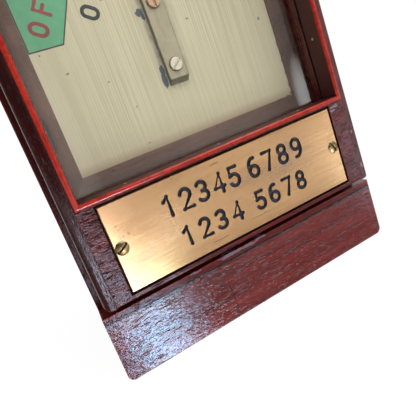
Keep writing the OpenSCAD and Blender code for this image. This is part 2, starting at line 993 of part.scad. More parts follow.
module signal_arm() {
    color(signal_red)
        difference() {
            slab(arm_y, arm_t)
                polygon([[-arm_l, pivot_z - arm_tip_w / 2], [arm_tail, pivot_z - arm_root_w / 2],
                         [arm_tail, pivot_z + arm_root_w / 2], [-arm_l, pivot_z + arm_tip_w / 2]]);
            translate([0, arm_y - cut, pivot_z]) along_y()
                cylinder(h = arm_t + 2 * cut, r = spindle_r + 0.02);
        }
}

module arm_boss() {
    color(brass)
        translate([0, arm_y + arm_t, pivot_z]) along_y()
            difference() {
                cylinder(h = boss_h, r = boss_r);
                translate([0, 0, -cut]) cylinder(h = boss_h + 2 * cut, r = spindle_r + 0.02);
            }
}

// The screw head that holds the arm against its boss
module arm_screw() {
    color(brass)
        translate([0, arm_y - arm_head_h, pivot_z])
            difference() {
                along_y() cylinder(h = arm_head_h, r = 2.8);
                translate([-3, -cut, -0.4]) cube([6, cut + 0.7, 0.8]);
            }
}

spindle_tail = 3;

module arm_spindle() {
    l = rear_y + frame_t + spindle_tail - arm_y;
    color(steel)
        translate([0, arm_y, pivot_z]) along_y() cylinder(h = l, r = spindle_r);
}

// The movement's two plates, held apart by pillars
frame_up = 33;
frame_z0 = pivot_z + frame_up - frame_h;
pillar_in = 6;
bush_r = 4;
bush_flange_r = 6;
bush_flange_t = 1.5;
frame_screw_r = 1.5;
frame_screw_l = frame_t + 7;
frame_head_r = 3;
frame_head_h = 1.8;
fixing_r = 1.3;
fixing_in = 3.5;
fixing_head_r = 2.4;
fixing_head_h = 1.3;

module at_pillars() {
    for (x = [-frame_w / 2 + pillar_in, frame_w / 2 - pillar_in])
        for (z = [frame_z0 + pillar_in, frame_z0 + frame_h - pillar_in])
            translate([x, 0, z]) children();
}

module at_fixing_screws() {
    for (x = [-frame_w / 2 + fixing_in, frame_w / 2 - fixing_in])
        for (z = [frame_z0 + frame_h * 0.3, frame_z0 + frame_h * 0.7])
            translate([x, frame_y, z]) children();
}

module movement_plate(y) {
    box([-frame_w / 2, y, frame_z0], [frame_w / 2, y + frame_t, frame_z0 + frame_h]);
}

module front_plate() {
    color(brass)
        difference() {
            movement_plate(frame_y);
            translate([0, frame_y - cut, pivot_z]) along_y()
                cylinder(h = frame_t + 2 * cut, r = bush_r + 0.02);
            at_fixing_screws() translate([0, -cut, 0])
                along_y() cylinder(h = frame_t + 2 * cut, r = fixing_r + fit);
        }
}

// Where the pillars and the yoke are screwed to the rear plate
module at_frame_screws() {
    at_pillars() translate([0, rear_y + frame_t, 0]) rotate([0, 0, 180]) children();
    for (side = [-1, 1])
        translate([side * coil_pitch / 2, rear_y + frame_t, core_z - yoke_t / 2])
            rotate([0, 0, 180]) children();
}

module frame_screw_holes() {
    at_frame_screws() translate([0, -cut, 0])
        along_y() cylinder(h = frame_screw_l + cut + fit, r = frame_screw_r + fit);
}

module rear_plate() {
    color(brass)
        difference() {
            movement_plate(rear_y);
            translate([0, rear_y - cut, pivot_z]) along_y()
                cylinder(h = frame_t + 2 * cut, r = bush_r + 0.02);
            frame_screw_holes();
        }
}

module pillars() {
    color(brass)
        difference() {
            at_pillars() translate([0, space_y, 0]) along_y()
                cylinder(h = frame_gap, r = pillar_r);
            frame_screw_holes();
        }
}

module frame_screws() {
    color(steel)
        at_frame_screws() cheese_screw(frame_head_r, frame_head_h, frame_screw_r, frame_screw_l, 25);
}

module board_screws() {
    color(steel)
        at_fixing_screws() translate([0, frame_t, 0]) rotate([0, 0, 180])
            cheese_screw(fixing_head_r, fixing_head_h, fixing_r, frame_t + board_t - 1, 70);
}

// A flanged bush in the plate at depth y, its flange at depth flange_y
module bush(y, flange_y) {
    difference() {
        union() {
            translate([0, y, pivot_z]) along_y() cylinder(h = frame_t, r = bush_r);
            translate([0, flange_y, pivot_z]) along_y() cylinder(h = bush_flange_t, r = bush_flange_r);
        }
        translate([0, y - frame_t - bush_flange_t, pivot_z]) along_y()
            cylinder(h = 3 * (frame_t + bush_flange_t), r = spindle_r + run_fit);
    }
}

module spindle_bushes() {
    color(brass) {
        bush(frame_y, space_y);
        bush(rear_y, rear_y - bush_flange_t);
    }
}

// The balance weight brings the arm back to ON
lever_y = space_y + bush_flange_t + 0.7;
lever_t = 2;
lever_w = 5;
hub_r = 4.5;
weight_h = 5.5;
weight_y = lever_y - 1.2;
stop_r = 1.5;
stop_out = 20;
stop_play = 0.3;

module balance_lever() {
    color(brass)
        translate([0, lever_y, pivot_z])
            difference() {
                union() {
                    along_y() cylinder(h = lever_t, r = hub_r);
                    translate([0, 0, -lever_w / 2]) cube([weight_l + 3, lever_t, lever_w]);
                }
                translate([0, -cut, 0]) along_y() cylinder(h = lever_t + 2 * cut, r = spindle_r + 0.02);
            }
}

module balance_weight() {
    color(brass)
        difference() {
            translate([weight_l, weight_y, pivot_z]) along_y() cylinder(h = weight_h, r = weight_r);
            translate([weight_l - weight_r - cut, lever_y, pivot_z - lever_w / 2])
                cube([weight_r + cut + 3, lever_t, lever_w]);
        }
}

// Two pins in the front plate stop the lever at ON and at OFF
module stop_pin(fall, side) {
    off = lever_w / 2 + stop_r + stop_play;
    x = stop_out * cos(fall) - side * off * sin(fall);
    z = stop_out * sin(fall) + side * off * cos(fall);
    translate([x, space_y, pivot_z + z]) along_y()
        cylinder(h = lever_y + lever_t + 1 - space_y, r = stop_r);
}

module stop_pins() {
    color(steel) {
        stop_pin(0, -1);
        stop_pin(arm_fall, 1);
    }
}

// The armature lies level between the pole shoes when the arm is at OFF
shoe_d = 14;
shoe_y = coil_y - shoe_d / 2;

module armature() {
    color(iron)
        translate([0, shoe_y, pivot_z]) rotate([0, arm_fall, 0])
            difference() {
                intersection() {
                    along_y() cylinder(h = shoe_d, r = rotor_r);
                    translate([-rotor_r - cut, -cut, -rotor_w / 2])
                        cube([2 * (rotor_r + cut), shoe_d + 2 * cut, rotor_w]);
                }
                translate([0, -cut, 0]) along_y() cylinder(h = shoe_d + 2 * cut, r = spindle_r + 0.02);
            }
}

// Heights of the electromagnet, downwards from the armature
shoe_t = 6;
shoe_rise = 10;
shoe_side = 10;
flange_t = 1.5;
yoke_t = 8;
shoe_z = pivot_z - rotor_r - air_gap - 0.6;
core_z = shoe_z - coil_l;

module at_coils() {
    for (side = [-1, 1])
        translate([side * coil_pitch / 2, coil_y, core_z]) children();
}

module pole_shoes() {
    color(iron)
        for (side = [0, 1])
            mirror([side, 0, 0])
                difference() {
                    box([coil_pitch / 2 - shoe_side, shoe_y, shoe_z],
                        [coil_pitch / 2 + shoe_side, shoe_y + shoe_d, pivot_z + shoe_rise]);
                    translate([0, shoe_y - cut, pivot_z]) along_y()
                        cylinder(h = shoe_d + 2 * cut, r = rotor_r + air_gap);
                }
}

module cores() {
    color(iron)
        at_coils() cylinder(h = coil_l, r = core_r);
}

module bobbins() {
    color(ebonite)
        at_coils()
            difference() {
                union() {
                    cylinder(h = flange_t, r = coil_r);
                    translate([0, 0, coil_l - flange_t]) cylinder(h = flange_t, r = coil_r);
                    cylinder(h = coil_l, r = core_r + 1.2);
                }
                translate([0, 0, -cut]) cylinder(h = coil_l + 2 * cut, r = core_r + fit);
            }
}

module windings() {
    color(copper)
        at_coils() translate([0, 0, flange_t])
            difference() {
                cylinder(h = coil_l - 2 * flange_t, r = coil_r - 1);
                translate([0, 0, -cut])
                    cylinder(h = coil_l + 2 * cut, r = core_r + 1.2 + fit);
            }
}

module yoke() {
    x = coil_pitch / 2 + shoe_side;
    color(iron)
        difference() {
            box([-x, space_y, core_z - yoke_t], [x, rear_y, core_z]);
            frame_screw_holes();
        }
}

// Two terminals on an ebonite block at the back
block_w = terminal_pitch + 18;
block_h = 20;

module at_terminals() {
    for (side = [-1, 1])
        translate([side * terminal_pitch / 2, back_y, terminal_z]) children();
}

module terminal_block() {
    color(ebonite)
        difference() {
            box([-block_w / 2, back_y, terminal_z - block_h / 2],
                [block_w / 2, back_y + block_t, terminal_z + block_h / 2]);
            at_terminals() translate([0, -cut, 0])
                along_y() cylinder(h = block_t + 2 * cut, r = stud_r + fit);
        }
}

stud_in = 6;
locknut_t = 3.2;
washer_in = 0.5;

// Beyond the thumb nut each stud has a neck and a plain end that takes a wire's socket
stud_over = 0.3;
neck_l = 0.4;
neck_r = stud_r - 0.7;
end_r = stud_r - 0.4;

module terminal_studs() {
    color(brass)
        at_terminals() along_y() {
            translate([0, 0, -back_t - stud_in])
                cylinder(h = back_t + stud_in + nut_end + stud_over, r = stud_r);
            cylinder(h = terminal_reach, r = neck_r);
            translate([0, 0, nut_end + stud_over + neck_l])
                cylinder(h = terminal_reach - nut_end - stud_over - neck_l, r = end_r);
        }
}

module terminal_washers() {
    color(brass)
        at_terminals() translate([0, block_t, 0]) along_y()
            difference() {
                cylinder(h = washer_t, r = nut_r - washer_in);
                translate([0, 0, -cut]) cylinder(h = washer_t + 2 * cut, r = stud_r + fit);
            }
}

// Hexagon nuts hold the studs on the inside of the back board
module terminal_locknuts() {
    color(brass)
        at_terminals() translate([0, -back_t - locknut_t, 0]) along_y()
            difference() {
                cylinder(h = locknut_t, r = stud_r * 2, $fn = 6);
                translate([0, 0, -cut]) cylinder(h = locknut_t + 2 * cut, r = stud_r + fit);
            }
}

// A thumb nut with flutes round its rim
boss_wall = 1.2;

module thumb_nut(side) {
    flutes = 20;
    y0 = back_y + block_t + washer_t + nut_play;
    l = nut_h + nut_boss;
    translate([side * terminal_pitch / 2, y0, terminal_z]) along_y()
        difference() {
            union() {
                cylinder(h = nut_h - nut_play, r = nut_r);
                cylinder(h = l, r = stud_r + boss_wall);
            }
            translate([0, 0, -cut]) cylinder(h = l + 2 * cut, r = stud_r + run_fit);
            for (i = [0 : flutes - 1])
                rotate(i * 360 / flutes) translate([nut_r + 0.25, 0, -cut])
                    cylinder(h = nut_h + 2 * cut, r = 0.6, $fn = 8);
        }
}

module terminal_nut_left() {
    color(brass) thumb_nut(-1);
}

module terminal_nut_right() {
    color(brass) thumb_nut(1);
}

base_plinth();
base_board();
base_screws();
case_side_left();
case_side_right();
case_bottom();
case_top();
case_back();
back_screws();
cap_board();
door_stile_left();
door_stile_right();
door_bottom_rail();
door_top_rail();
bead_left();
bead_right();
bead_top();
bead_bottom();
bead_pins();
glass_pane();
name_plate();
name_plate_screws();
hinge_case_leaves();
hinge_door_leaves();
hinge_pins();
hinge_case_screws();
hinge_door_screws();
lock_barrel();
lock_plug();
lock_cam();
dial_surround();
dial_plate();
dial_board();
signal_post();
post_screws();
signal_arm();
arm_boss();
arm_screw();
arm_spindle();
front_plate();
rear_plate();
pillars();
frame_screws();
board_screws();
spindle_bushes();
armature();
balance_lever();
balance_weight();
stop_pins();
bobbins();
windings();
cores();
pole_shoes();
yoke();
terminal_block();
terminal_studs();
terminal_washers();
terminal_locknuts();
terminal_nut_left();
terminal_nut_right();
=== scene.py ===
import json
import math
import random

import bpy
from mathutils import Matrix, Vector


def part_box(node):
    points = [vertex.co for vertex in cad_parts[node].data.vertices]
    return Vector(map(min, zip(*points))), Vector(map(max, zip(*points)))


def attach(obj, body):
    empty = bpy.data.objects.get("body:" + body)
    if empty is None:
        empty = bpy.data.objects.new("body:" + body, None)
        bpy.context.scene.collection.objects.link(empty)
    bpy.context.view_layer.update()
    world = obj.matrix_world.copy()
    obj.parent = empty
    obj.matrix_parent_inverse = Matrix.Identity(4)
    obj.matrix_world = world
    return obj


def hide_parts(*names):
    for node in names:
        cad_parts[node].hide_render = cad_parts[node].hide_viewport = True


bl_info = {
    "name": "Signal Arm Repeater",
    "version": (1, 0, 0),
    "blender": (4, 5, 0),
    "location": "3D View > Sidebar > Repeater",
    "description": "Dresses the signal arm repeater in wood, brass, glass and paint",
    "category": "Object",
}

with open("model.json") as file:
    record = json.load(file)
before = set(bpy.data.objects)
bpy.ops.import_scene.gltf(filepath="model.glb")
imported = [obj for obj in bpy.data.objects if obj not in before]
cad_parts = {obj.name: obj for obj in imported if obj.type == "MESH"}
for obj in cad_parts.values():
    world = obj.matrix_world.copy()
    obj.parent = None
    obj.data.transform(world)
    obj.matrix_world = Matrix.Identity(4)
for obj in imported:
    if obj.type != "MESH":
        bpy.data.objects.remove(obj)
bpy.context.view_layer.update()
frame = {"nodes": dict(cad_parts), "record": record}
NODES = frame["nodes"]
MM = 0.001


BODY_OF = {node: body for body, nodes in frame["record"]["behaviour"]["bodies"].items() for node in nodes}
SLOT_OF = {row["node"]: row["material_slot"] for row in frame["record"]["subparts"]}

DOOR_FACE_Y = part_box("door_bottom_rail")[0].y
DIAL_FACE_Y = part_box("dial_plate")[0].y
DIAL_FOOT_Z = 83.6 * MM
PLATE_LOW, PLATE_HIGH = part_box("name_plate")
POST_LOW, POST_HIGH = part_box("signal_post")


class RepeaterWoodSettings(bpy.types.PropertyGroup):
    dark: bpy.props.FloatVectorProperty(
        name="Dark mahogany", description="Colour of the dark streaks", subtype="COLOR", size=3,
        default=(0.045, 0.0045, 0.0045), min=0, max=1)
    light: bpy.props.FloatVectorProperty(
        name="Light mahogany", description="Colour of the light streaks", subtype="COLOR", size=3,
        default=(0.220, 0.019, 0.014), min=0, max=1)
    bead: bpy.props.FloatVectorProperty(
        name="Bead", description="Colour of the glazing beads", subtype="COLOR", size=3,
        default=(0.50, 0.028, 0.015), min=0, max=1)
    edge_radius: bpy.props.FloatProperty(
        name="Edge softness", description="Radius worn on the wooden edges", subtype="DISTANCE",
        default=0.0004, min=0.0001, max=0.001)


class RepeaterDialSettings(bpy.types.PropertyGroup):
    cream: bpy.props.FloatVectorProperty(
        name="Dial", description="Colour of the dial's paint", subtype="COLOR", size=3,
        default=(0.735, 0.638, 0.440), min=0, max=1)
    green: bpy.props.FloatVectorProperty(
        name="Field", description="Colour of the field beside the arm", subtype="COLOR", size=3,
        default=(0.145, 0.46, 0.235), min=0, max=1)
    letter_height: bpy.props.FloatProperty(
        name="Letter height", description="Height of the painted letters", subtype="DISTANCE",
        default=0.0082, min=0.004, max=0.012)
    letter_pitch: bpy.props.FloatProperty(
        name="Letter pitch", description="Distance from one letter to the next", subtype="DISTANCE",
        default=0.0090, min=0.006, max=0.014)


class RepeaterBrassSettings(bpy.types.PropertyGroup):
    plate: bpy.props.FloatVectorProperty(
        name="Plate", description="Colour of the name plate", subtype="COLOR", size=3,
        default=(0.66, 0.40, 0.20), min=0, max=1)
    brass: bpy.props.FloatVectorProperty(
        name="Brass", description="Colour of the other brass", subtype="COLOR", size=3,
        default=(0.70, 0.49, 0.22), min=0, max=1)
    engraving: bpy.props.FloatVectorProperty(
        name="Engraving", description="Colour of the wax in the engraving", subtype="COLOR", size=3,
        default=(0.010, 0.012, 0.018), min=0, max=1)
    cutter_radius: bpy.props.FloatProperty(
        name="Cutter", description="Radius of the engraver's round-nosed cutter", subtype="DISTANCE",
        default=0.00090, min=0.0003, max=0.0015)


class RepeaterStageSettings(bpy.types.PropertyGroup):
    floor: bpy.props.FloatVectorProperty(
        name="Floor", description="Colour of the floor", subtype="COLOR", size=3,
        default=(0.80, 0.80, 0.80), min=0, max=1)
    room: bpy.props.FloatProperty(
        name="Room light", description="Strength of the light from all round", default=0.86, min=0, max=3)
    key: bpy.props.FloatProperty(
        name="Key light", description="Power of the large lamp in front, above and to the right",
        subtype="POWER", default=6.0, min=0, max=50)
    window: bpy.props.FloatProperty(
        name="Window", description="Brightness of the window that polish and brass mirror",
        default=10.0, min=0, max=50)
    lens_pixels: bpy.props.FloatProperty(
        name="Focal length", description="Focal length in pixels of the 416 pixel frame",
        default=386.98, min=200, max=2000)


SETTINGS = {
    "repeater_wood": RepeaterWoodSettings,
    "repeater_dial": RepeaterDialSettings,
    "repeater_brass": RepeaterBrassSettings,
    "repeater_stage": RepeaterStageSettings,
}


# Small tools for objects and meshes

def deselect():
    if bpy.context.object and bpy.context.object.mode != "OBJECT":
        bpy.ops.object.mode_set(mode="OBJECT")
    bpy.ops.object.select_all(action="DESELECT")


def pick(*objects):
    deselect()
    for piece in objects:
        piece.select_set(True)
    bpy.context.view_layer.objects.active = objects[0]
    return objects[0]


def merged_copy(node, name):
    """A copy of a CAD node's mesh whose loose triangles are joined into whole faces."""
    mesh = NODES[node].data.copy()
    mesh.materials.clear()
    piece = bpy.data.objects.new(name, mesh)
    bpy.context.scene.collection.objects.link(piece)
    pick(piece)
    bpy.ops.object.mode_set(mode="EDIT")
    bpy.ops.mesh.select_all(action="SELECT")
    bpy.ops.mesh.remove_doubles(threshold=0.000002)
    bpy.ops.mesh.dissolve_limited(angle_limit=math.radians(0.4))
    bpy.ops.object.mode_set(mode="OBJECT")
    return piece


def soften(piece, radius, segments=2, corner=35):
    """Rounds the edges sharper than corner degrees and keeps the broad faces flat."""
    pick(piece)
    bevel = piece.modifiers.new("Edges", "BEVEL")
    bevel.width = radius
    bevel.segments = segments
    bevel.limit_method = "ANGLE"
    bevel.angle_limit = math.radians(corner)
    bevel.use_clamp_overlap = True
    bpy.ops.object.modifier_apply(modifier=bevel.name)
    flatten_shading(piece)


def flatten_shading(piece):
    """Shades smooth across the rounded edges, with the broad faces as flat as they are."""
    smooth(piece)
    weigh = piece.modifiers.new("Weights", "WEIGHTED_NORMAL")
    weigh.keep_sharp = True
    bpy.ops.object.modifier_apply(modifier=weigh.name)


def smooth(piece, corner=35):
    pick(piece)
    bpy.ops.object.shade_smooth_by_angle(angle=math.radians(corner))


def settle(piece):
    """Puts a piece's place, turn and size into its mesh."""
    pick(piece)
    bpy.ops.object.transform_apply(location=True, rotation=True, scale=True)


def outward(piece):
    pick(piece)
    bpy.ops.object.mode_set(mode="EDIT")
    bpy.ops.mesh.select_all(action="SELECT")
    bpy.ops.mesh.remove_doubles(threshold=0.000001)
    bpy.ops.mesh.normals_make_consistent(inside=False)
    bpy.ops.object.mode_set(mode="OBJECT")


def dress(piece, material, body, slot, *replaced):
    piece.data.materials.clear()
    piece.data.materials.append(material)
    finish_piece(piece, body, slot, *replaced)


def finish_piece(piece, body, slot, *replaced):
    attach(piece, body)
    if replaced:
        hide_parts(*replaced)


def dress_node(node, material, radius=0.0, segments=2, corner=35):
    """Replaces a CAD node by a copy with rounded edges and a finish."""
    piece = merged_copy(node, node.replace("_", "-") + ".dressed")
    if radius:
        soften(piece, radius, segments, corner)
    else:
        smooth(piece, corner)
    dress(piece, material, BODY_OF[node], SLOT_OF[node], node)
    return piece


# Small tools for materials

def put(tree, kind, at=(0, 0), **values):
    """Adds a node. Names that are sockets set sockets, and others set the node's own values."""
    node = tree.nodes.new(kind)
    node.location = at
    for name, value in values.items():
        label = name.replace("_", " ")
        socket = next((s for s in node.inputs if s.name == label), None)
        target = value if isinstance(value, bpy.types.NodeSocket) else None
        if socket and target:
            tree.links.new(target, socket)
        elif socket:
            socket.default_value = value
        else:
            setattr(node, name, value)
    return node


def maths(tree, operation, a, b=0.0, c=0.0, clamp=False):
    node = tree.nodes.new("ShaderNodeMath")
    node.operation = operation
    node.use_clamp = clamp
    for socket, value in zip(node.inputs, (a, b, c)):
        if isinstance(value, bpy.types.NodeSocket):
            tree.links.new(value, socket)
        else:
            socket.default_value = value
    return node.outputs[0]


def spread(tree, value, low, high, to_low=0.0, to_high=1.0):
    """Maps value from low..high to to_low..to_high and stops at the ends."""
    node = tree.nodes.new("ShaderNodeMapRange")
    node.clamp = True
    tree.links.new(value, node.inputs["Value"])
    for name, number in (("From Min", low), ("From Max", high), ("To Min", to_low), ("To Max", to_high)):
        node.inputs[name].default_value = number
    return node.outputs["Result"]


def blend_colour(tree, share, a, b):
    node = tree.nodes.new("ShaderNodeMix")
    node.data_type = "RGBA"
    sockets = [s for s in node.inputs if s.type == "RGBA"]
    for socket, value in ((node.inputs[0], share), (sockets[0], a), (sockets[1], b)):
        if isinstance(value, bpy.types.NodeSocket):
            tree.links.new(value, socket)
        elif socket.type == "RGBA":
            socket.default_value = (*value, 1.0)
        else:
            socket.default_value = value
    return [s for s in node.outputs if s.type == "RGBA"][0]


def tinted(tree, mask, share, under, over):
    """Lays a share of one colour over another where the mask is."""
    return blend_colour(tree, maths(tree, "MULTIPLY", mask, share), under, over)


def axes_of(tree, where):
    """The X, Y and Z of each point."""
    return put(tree, "ShaderNodeSeparateXYZ", Vector=where).outputs


def stretched(tree, vector, per_mm):
    """Object coordinates scaled by per_mm, a number of features a millimetre along X, Y and Z."""
    node = tree.nodes.new("ShaderNodeMapping")
    tree.links.new(vector, node.inputs["Vector"])
    node.inputs["Scale"].default_value = [n / MM for n in per_mm]
    return node.outputs["Vector"]


def noise(tree, vector, detail=2.0, rough=0.5, warp=0.0):
    node = tree.nodes.new("ShaderNodeTexNoise")
    tree.links.new(vector, node.inputs["Vector"])
    node.inputs["Scale"].default_value = 1.0
    node.inputs["Detail"].default_value = detail
    node.inputs["Roughness"].default_value = rough
    node.inputs["Distortion"].default_value = warp
    return node.outputs["Fac"]


def group(name, inputs, outputs, build):
    """A shader node group with named sockets, built once."""
    if name in bpy.data.node_groups:
        return bpy.data.node_groups[name]
    tree = bpy.data.node_groups.new(name, "ShaderNodeTree")
    for label, kind, value in inputs:
        socket = tree.interface.new_socket(label, in_out="INPUT", socket_type=kind)
        if value is not None:
            socket.default_value = value
    for label, kind in outputs:
        tree.interface.new_socket(label, in_out="OUTPUT", socket_type=kind)
    start = tree.nodes.new("NodeGroupInput")
    end = tree.nodes.new("NodeGroupOutput")
    made = build(tree, start.outputs)
    for label, _ in outputs:
        tree.links.new(made[label], end.inputs[label])
    return tree


def place_group(tree, made, **values):
    node = tree.nodes.new("ShaderNodeGroup")
    node.node_tree = made
    for name, value in values.items():
        socket = node.inputs[name.replace("_", " ")]
        if isinstance(value, bpy.types.NodeSocket):
            tree.links.new(value, socket)
        else:
            socket.default_value = (*value, 1.0) if socket.type == "RGBA" else value
    return node.outputs


VECTOR = "NodeSocketVector"
COLOUR = "NodeSocketColor"
NUMBER = "NodeSocketFloat"


def grain_group():
    """Mahogany along X: broad bands, long fine streaks, and short open pores in drifts."""
    def build(tree, given):
        at = given["Vector"]
        bands = noise(tree, stretched(tree, at, (0.010, 0.11, 0.11)), 3, 0.55, 0.5)
        streaks = noise(tree, stretched(tree, at, (0.022, 1.1, 1.1)), 4, 0.62, 0.1)
        pores = noise(tree, stretched(tree, at, (0.26, 2.3, 2.3)), 1, 0.4, 0.0)
        drift = noise(tree, stretched(tree, at, (0.016, 0.03, 0.03)), 2, 0.5, 0.0)
        tone = maths(tree, "MULTIPLY_ADD", streaks, 0.55, maths(tree, "MULTIPLY", bands, 0.5))
        tone = spread(tree, tone, 0.38, 0.68)
        pore = maths(tree, "MULTIPLY", spread(tree, pores, 0.62, 0.68), spread(tree, drift, 0.36, 0.58, 0.15, 1.0))
        colour = blend_colour(tree, tone, given["Dark"], given["Light"])
        colour = tinted(tree, pore, 0.8, colour, (0.010, 0.003, 0.003))
        return {"Color": colour, "Tone": tone, "Pores": pore}
    return group("Mahogany grain",
                 [("Vector", VECTOR, None), ("Dark", COLOUR, (0.02, 0.005, 0.005, 1)),
                  ("Light", COLOUR, (0.15, 0.02, 0.02, 1))],
                 [("Color", COLOUR), ("Tone", NUMBER), ("Pores", NUMBER)], build)


def varnish_group():
    """Old polish: a soft swell, fine wrinkles along the grain and dull rubbed patches."""
    def build(tree, given):
        at = given["Vector"]
        swell = noise(tree, stretched(tree, at, (0.10, 0.22, 0.22)), 2, 0.5, 0.0)
        wrinkle = noise(tree, stretched(tree, at, (0.50, 1.1, 1.1)), 3, 0.6, 0.4)
        rubbed = noise(tree, stretched(tree, at, (0.05, 0.07, 0.07)), 3, 0.6, 0.0)
        crackle = noise(tree, stretched(tree, at, (0.75, 1.7, 1.7)), 1, 0.5, 0.0)
        checks = noise(tree, stretched(tree, at, (0.20, 1.15, 1.15)), 2, 0.5, 0.3)
        checks = maths(tree, "MULTIPLY", spread(tree, checks, 0.61, 0.66), given["Crazing"])
        height = maths(tree, "MULTIPLY_ADD", swell, 0.8, maths(tree, "MULTIPLY", wrinkle, 0.32))
        height = maths(tree, "MULTIPLY_ADD", maths(tree, "MULTIPLY", crackle, given["Crazing"]), 0.28, height)
        height = maths(tree, "MULTIPLY_ADD", checks, -0.30, height)
        return {"Height": height, "Checks": checks, "Rubbed": spread(tree, rubbed, 0.45, 0.72)}
    return group("Old polish", [("Vector", VECTOR, None), ("Crazing", NUMBER, 0.4)],
                 [("Height", NUMBER), ("Checks", NUMBER), ("Rubbed", NUMBER)], build)


def edges_group():
    """Masks of the outer edges, which wear pale, and of the crevices, whose darkening in the finishes is painted
    shade.
    """
    def build(tree, given):
        inner = put(tree, "ShaderNodeAmbientOcclusion", samples=6, inside=True, only_local=True, Distance=0.0011)
        outer = put(tree, "ShaderNodeAmbientOcclusion", samples=6, Distance=0.0016)
        broken = noise(tree, stretched(tree, given["Vector"], (0.30, 0.30, 0.30)), 4, 0.7, 0.0)
        whole = spread(tree, inner.outputs["AO"], 0.80, 0.45)
        worn = maths(tree, "MULTIPLY", whole, spread(tree, broken, 0.44, 0.60))
        # The crevice mask comes from occlusion; the finishes darken their colour with it as painted shade.
        return {"Worn": worn, "Edge": whole, "Crevice shade": spread(tree, outer.outputs["AO"], 0.72, 0.30)}
    return group("Edges", [("Vector", VECTOR, None)], [("Worn", NUMBER), ("Edge", NUMBER), ("Crevice shade", NUMBER)], build)


def marks(tree, where, places, ragged=0.0003, inner=0.36, outer=0.20):
    """A mask of small marks. Each place is X, Z and the half width and half height, in millimetres.
    The closer inner and outer are, the sharper is the rim."""
    coarse = stretched(tree, where, (0.8, 0.8, 0.8))
    shake = put(tree, "ShaderNodeTexNoise", Vector=coarse, Scale=1.0).outputs["Color"]
    offset = put(tree, "ShaderNodeVectorMath", operation="MULTIPLY_ADD")
    tree.links.new(shake, offset.inputs[0])
    offset.inputs[1].default_value = (2 * ragged, 0, 2 * ragged)
    tree.links.new(where, offset.inputs[2])
    mask = None
    for x, z, wide, tall in places:
        ball = tree.nodes.new("ShaderNodeTexGradient")
        ball.gradient_type = "SPHERICAL"
        place = tree.nodes.new("ShaderNodeMapping")
        place.vector_type = "TEXTURE"
        place.inputs["Location"].default_value = (x * MM + ragged, 0, z * MM + ragged)
        place.inputs["Scale"].default_value = (wide * 1.4 * MM, 1000, tall * 1.4 * MM)
        tree.links.new(offset.outputs[0], place.inputs["Vector"])
        tree.links.new(place.outputs[0], ball.inputs["Vector"])
        one = spread(tree, ball.outputs["Fac"], outer, inner)
        mask = one if mask is None else maths(tree, "MAXIMUM", mask, one)
    return mask


def brushed_group():
    """Fine lines along X, as rubbing with a cloth and abrasive leaves them."""
    def build(tree, given):
        at = given["Vector"]
        lines = noise(tree, stretched(tree, at, (0.035, 5.0, 5.0)), 3, 0.6, 0.0)
        scratches = noise(tree, stretched(tree, at, (0.07, 2.6, 2.6)), 2, 0.5, 0.15)
        return {"Lines": lines, "Scratches": spread(tree, scratches, 0.66, 0.72)}
    return group("Brushed metal", [("Vector", VECTOR, None)], [("Lines", NUMBER), ("Scratches", NUMBER)], build)


def tarnish_group():
    """Cloudy brown patches and small dark specks."""
    def build(tree, given):
        at = given["Vector"]
        cloud = noise(tree, stretched(tree, at, (0.035, 0.06, 0.06)), 4, 0.6, 0.3)
        fleck = noise(tree, stretched(tree, at, (1.1, 1.1, 1.1)), 2, 0.5, 0.0)
        return {"Cloud": spread(tree, cloud, 0.38, 0.72), "Flecks": spread(tree, fleck, 0.72, 0.78)}
    return group("Tarnish", [("Vector", VECTOR, None)], [("Cloud", NUMBER), ("Flecks", NUMBER)], build)


def new_material(name):
    material = bpy.data.materials.new(name)
    material.use_nodes = True
    tree = material.node_tree
    tree.nodes.clear()
    shader = tree.nodes.new("ShaderNodeBsdfPrincipled")
    end = tree.nodes.new("ShaderNodeOutputMaterial")
    tree.links.new(shader.outputs[0], end.inputs["Surface"])
    where = tree.nodes.new("ShaderNodeTexCoord").outputs["Object"]
    return material, tree, shader, where


def opened(material):
    """The tree, shader, place and present colour of a material that gets more marks."""
    tree = material.node_tree
    shader = next(n for n in tree.nodes if n.type == "BSDF_PRINCIPLED")
    where = next(n for n in tree.nodes if n.type == "TEX_COORD").outputs["Object"]
    return tree, shader, where, shader.inputs["Base Color"].links[0].from_socket


def distance(tree, axes, x, z):
    """How far each point is from the place X, Z."""
    dx = maths(tree, "SUBTRACT", axes["X"], x)
    dz = maths(tree, "SUBTRACT", axes["Z"], z)
    return maths(tree, "SQRT", maths(tree, "ADD", maths(tree, "MULTIPLY", dx, dx), maths(tree, "MULTIPLY", dz, dz)))


def turned(tree, where, turn=(0, 0, 0), shift=(0, 0, 0)):
    node = tree.nodes.new("ShaderNodeMapping")
    tree.links.new(where, node.inputs["Vector"])
    node.inputs["Rotation"].default_value = [math.radians(a) for a in turn]
    node.inputs["Location"].default_value = shift
    return node.outputs["Vector"]


def bumped(tree, shader, height, depth, strength=1.0):
    node = tree.nodes.new("ShaderNodeBump")
    node.inputs["Distance"].default_value = depth
    node.inputs["Strength"].default_value = strength
    tree.links.new(height, node.inputs["Height"])
    tree.links.new(node.outputs["Normal"], shader.inputs["Normal"])


GRAIN_TURN = {"X": (0, 0, 0), "Z": (0, 90, 0), "Y": (0, 0, 90)}


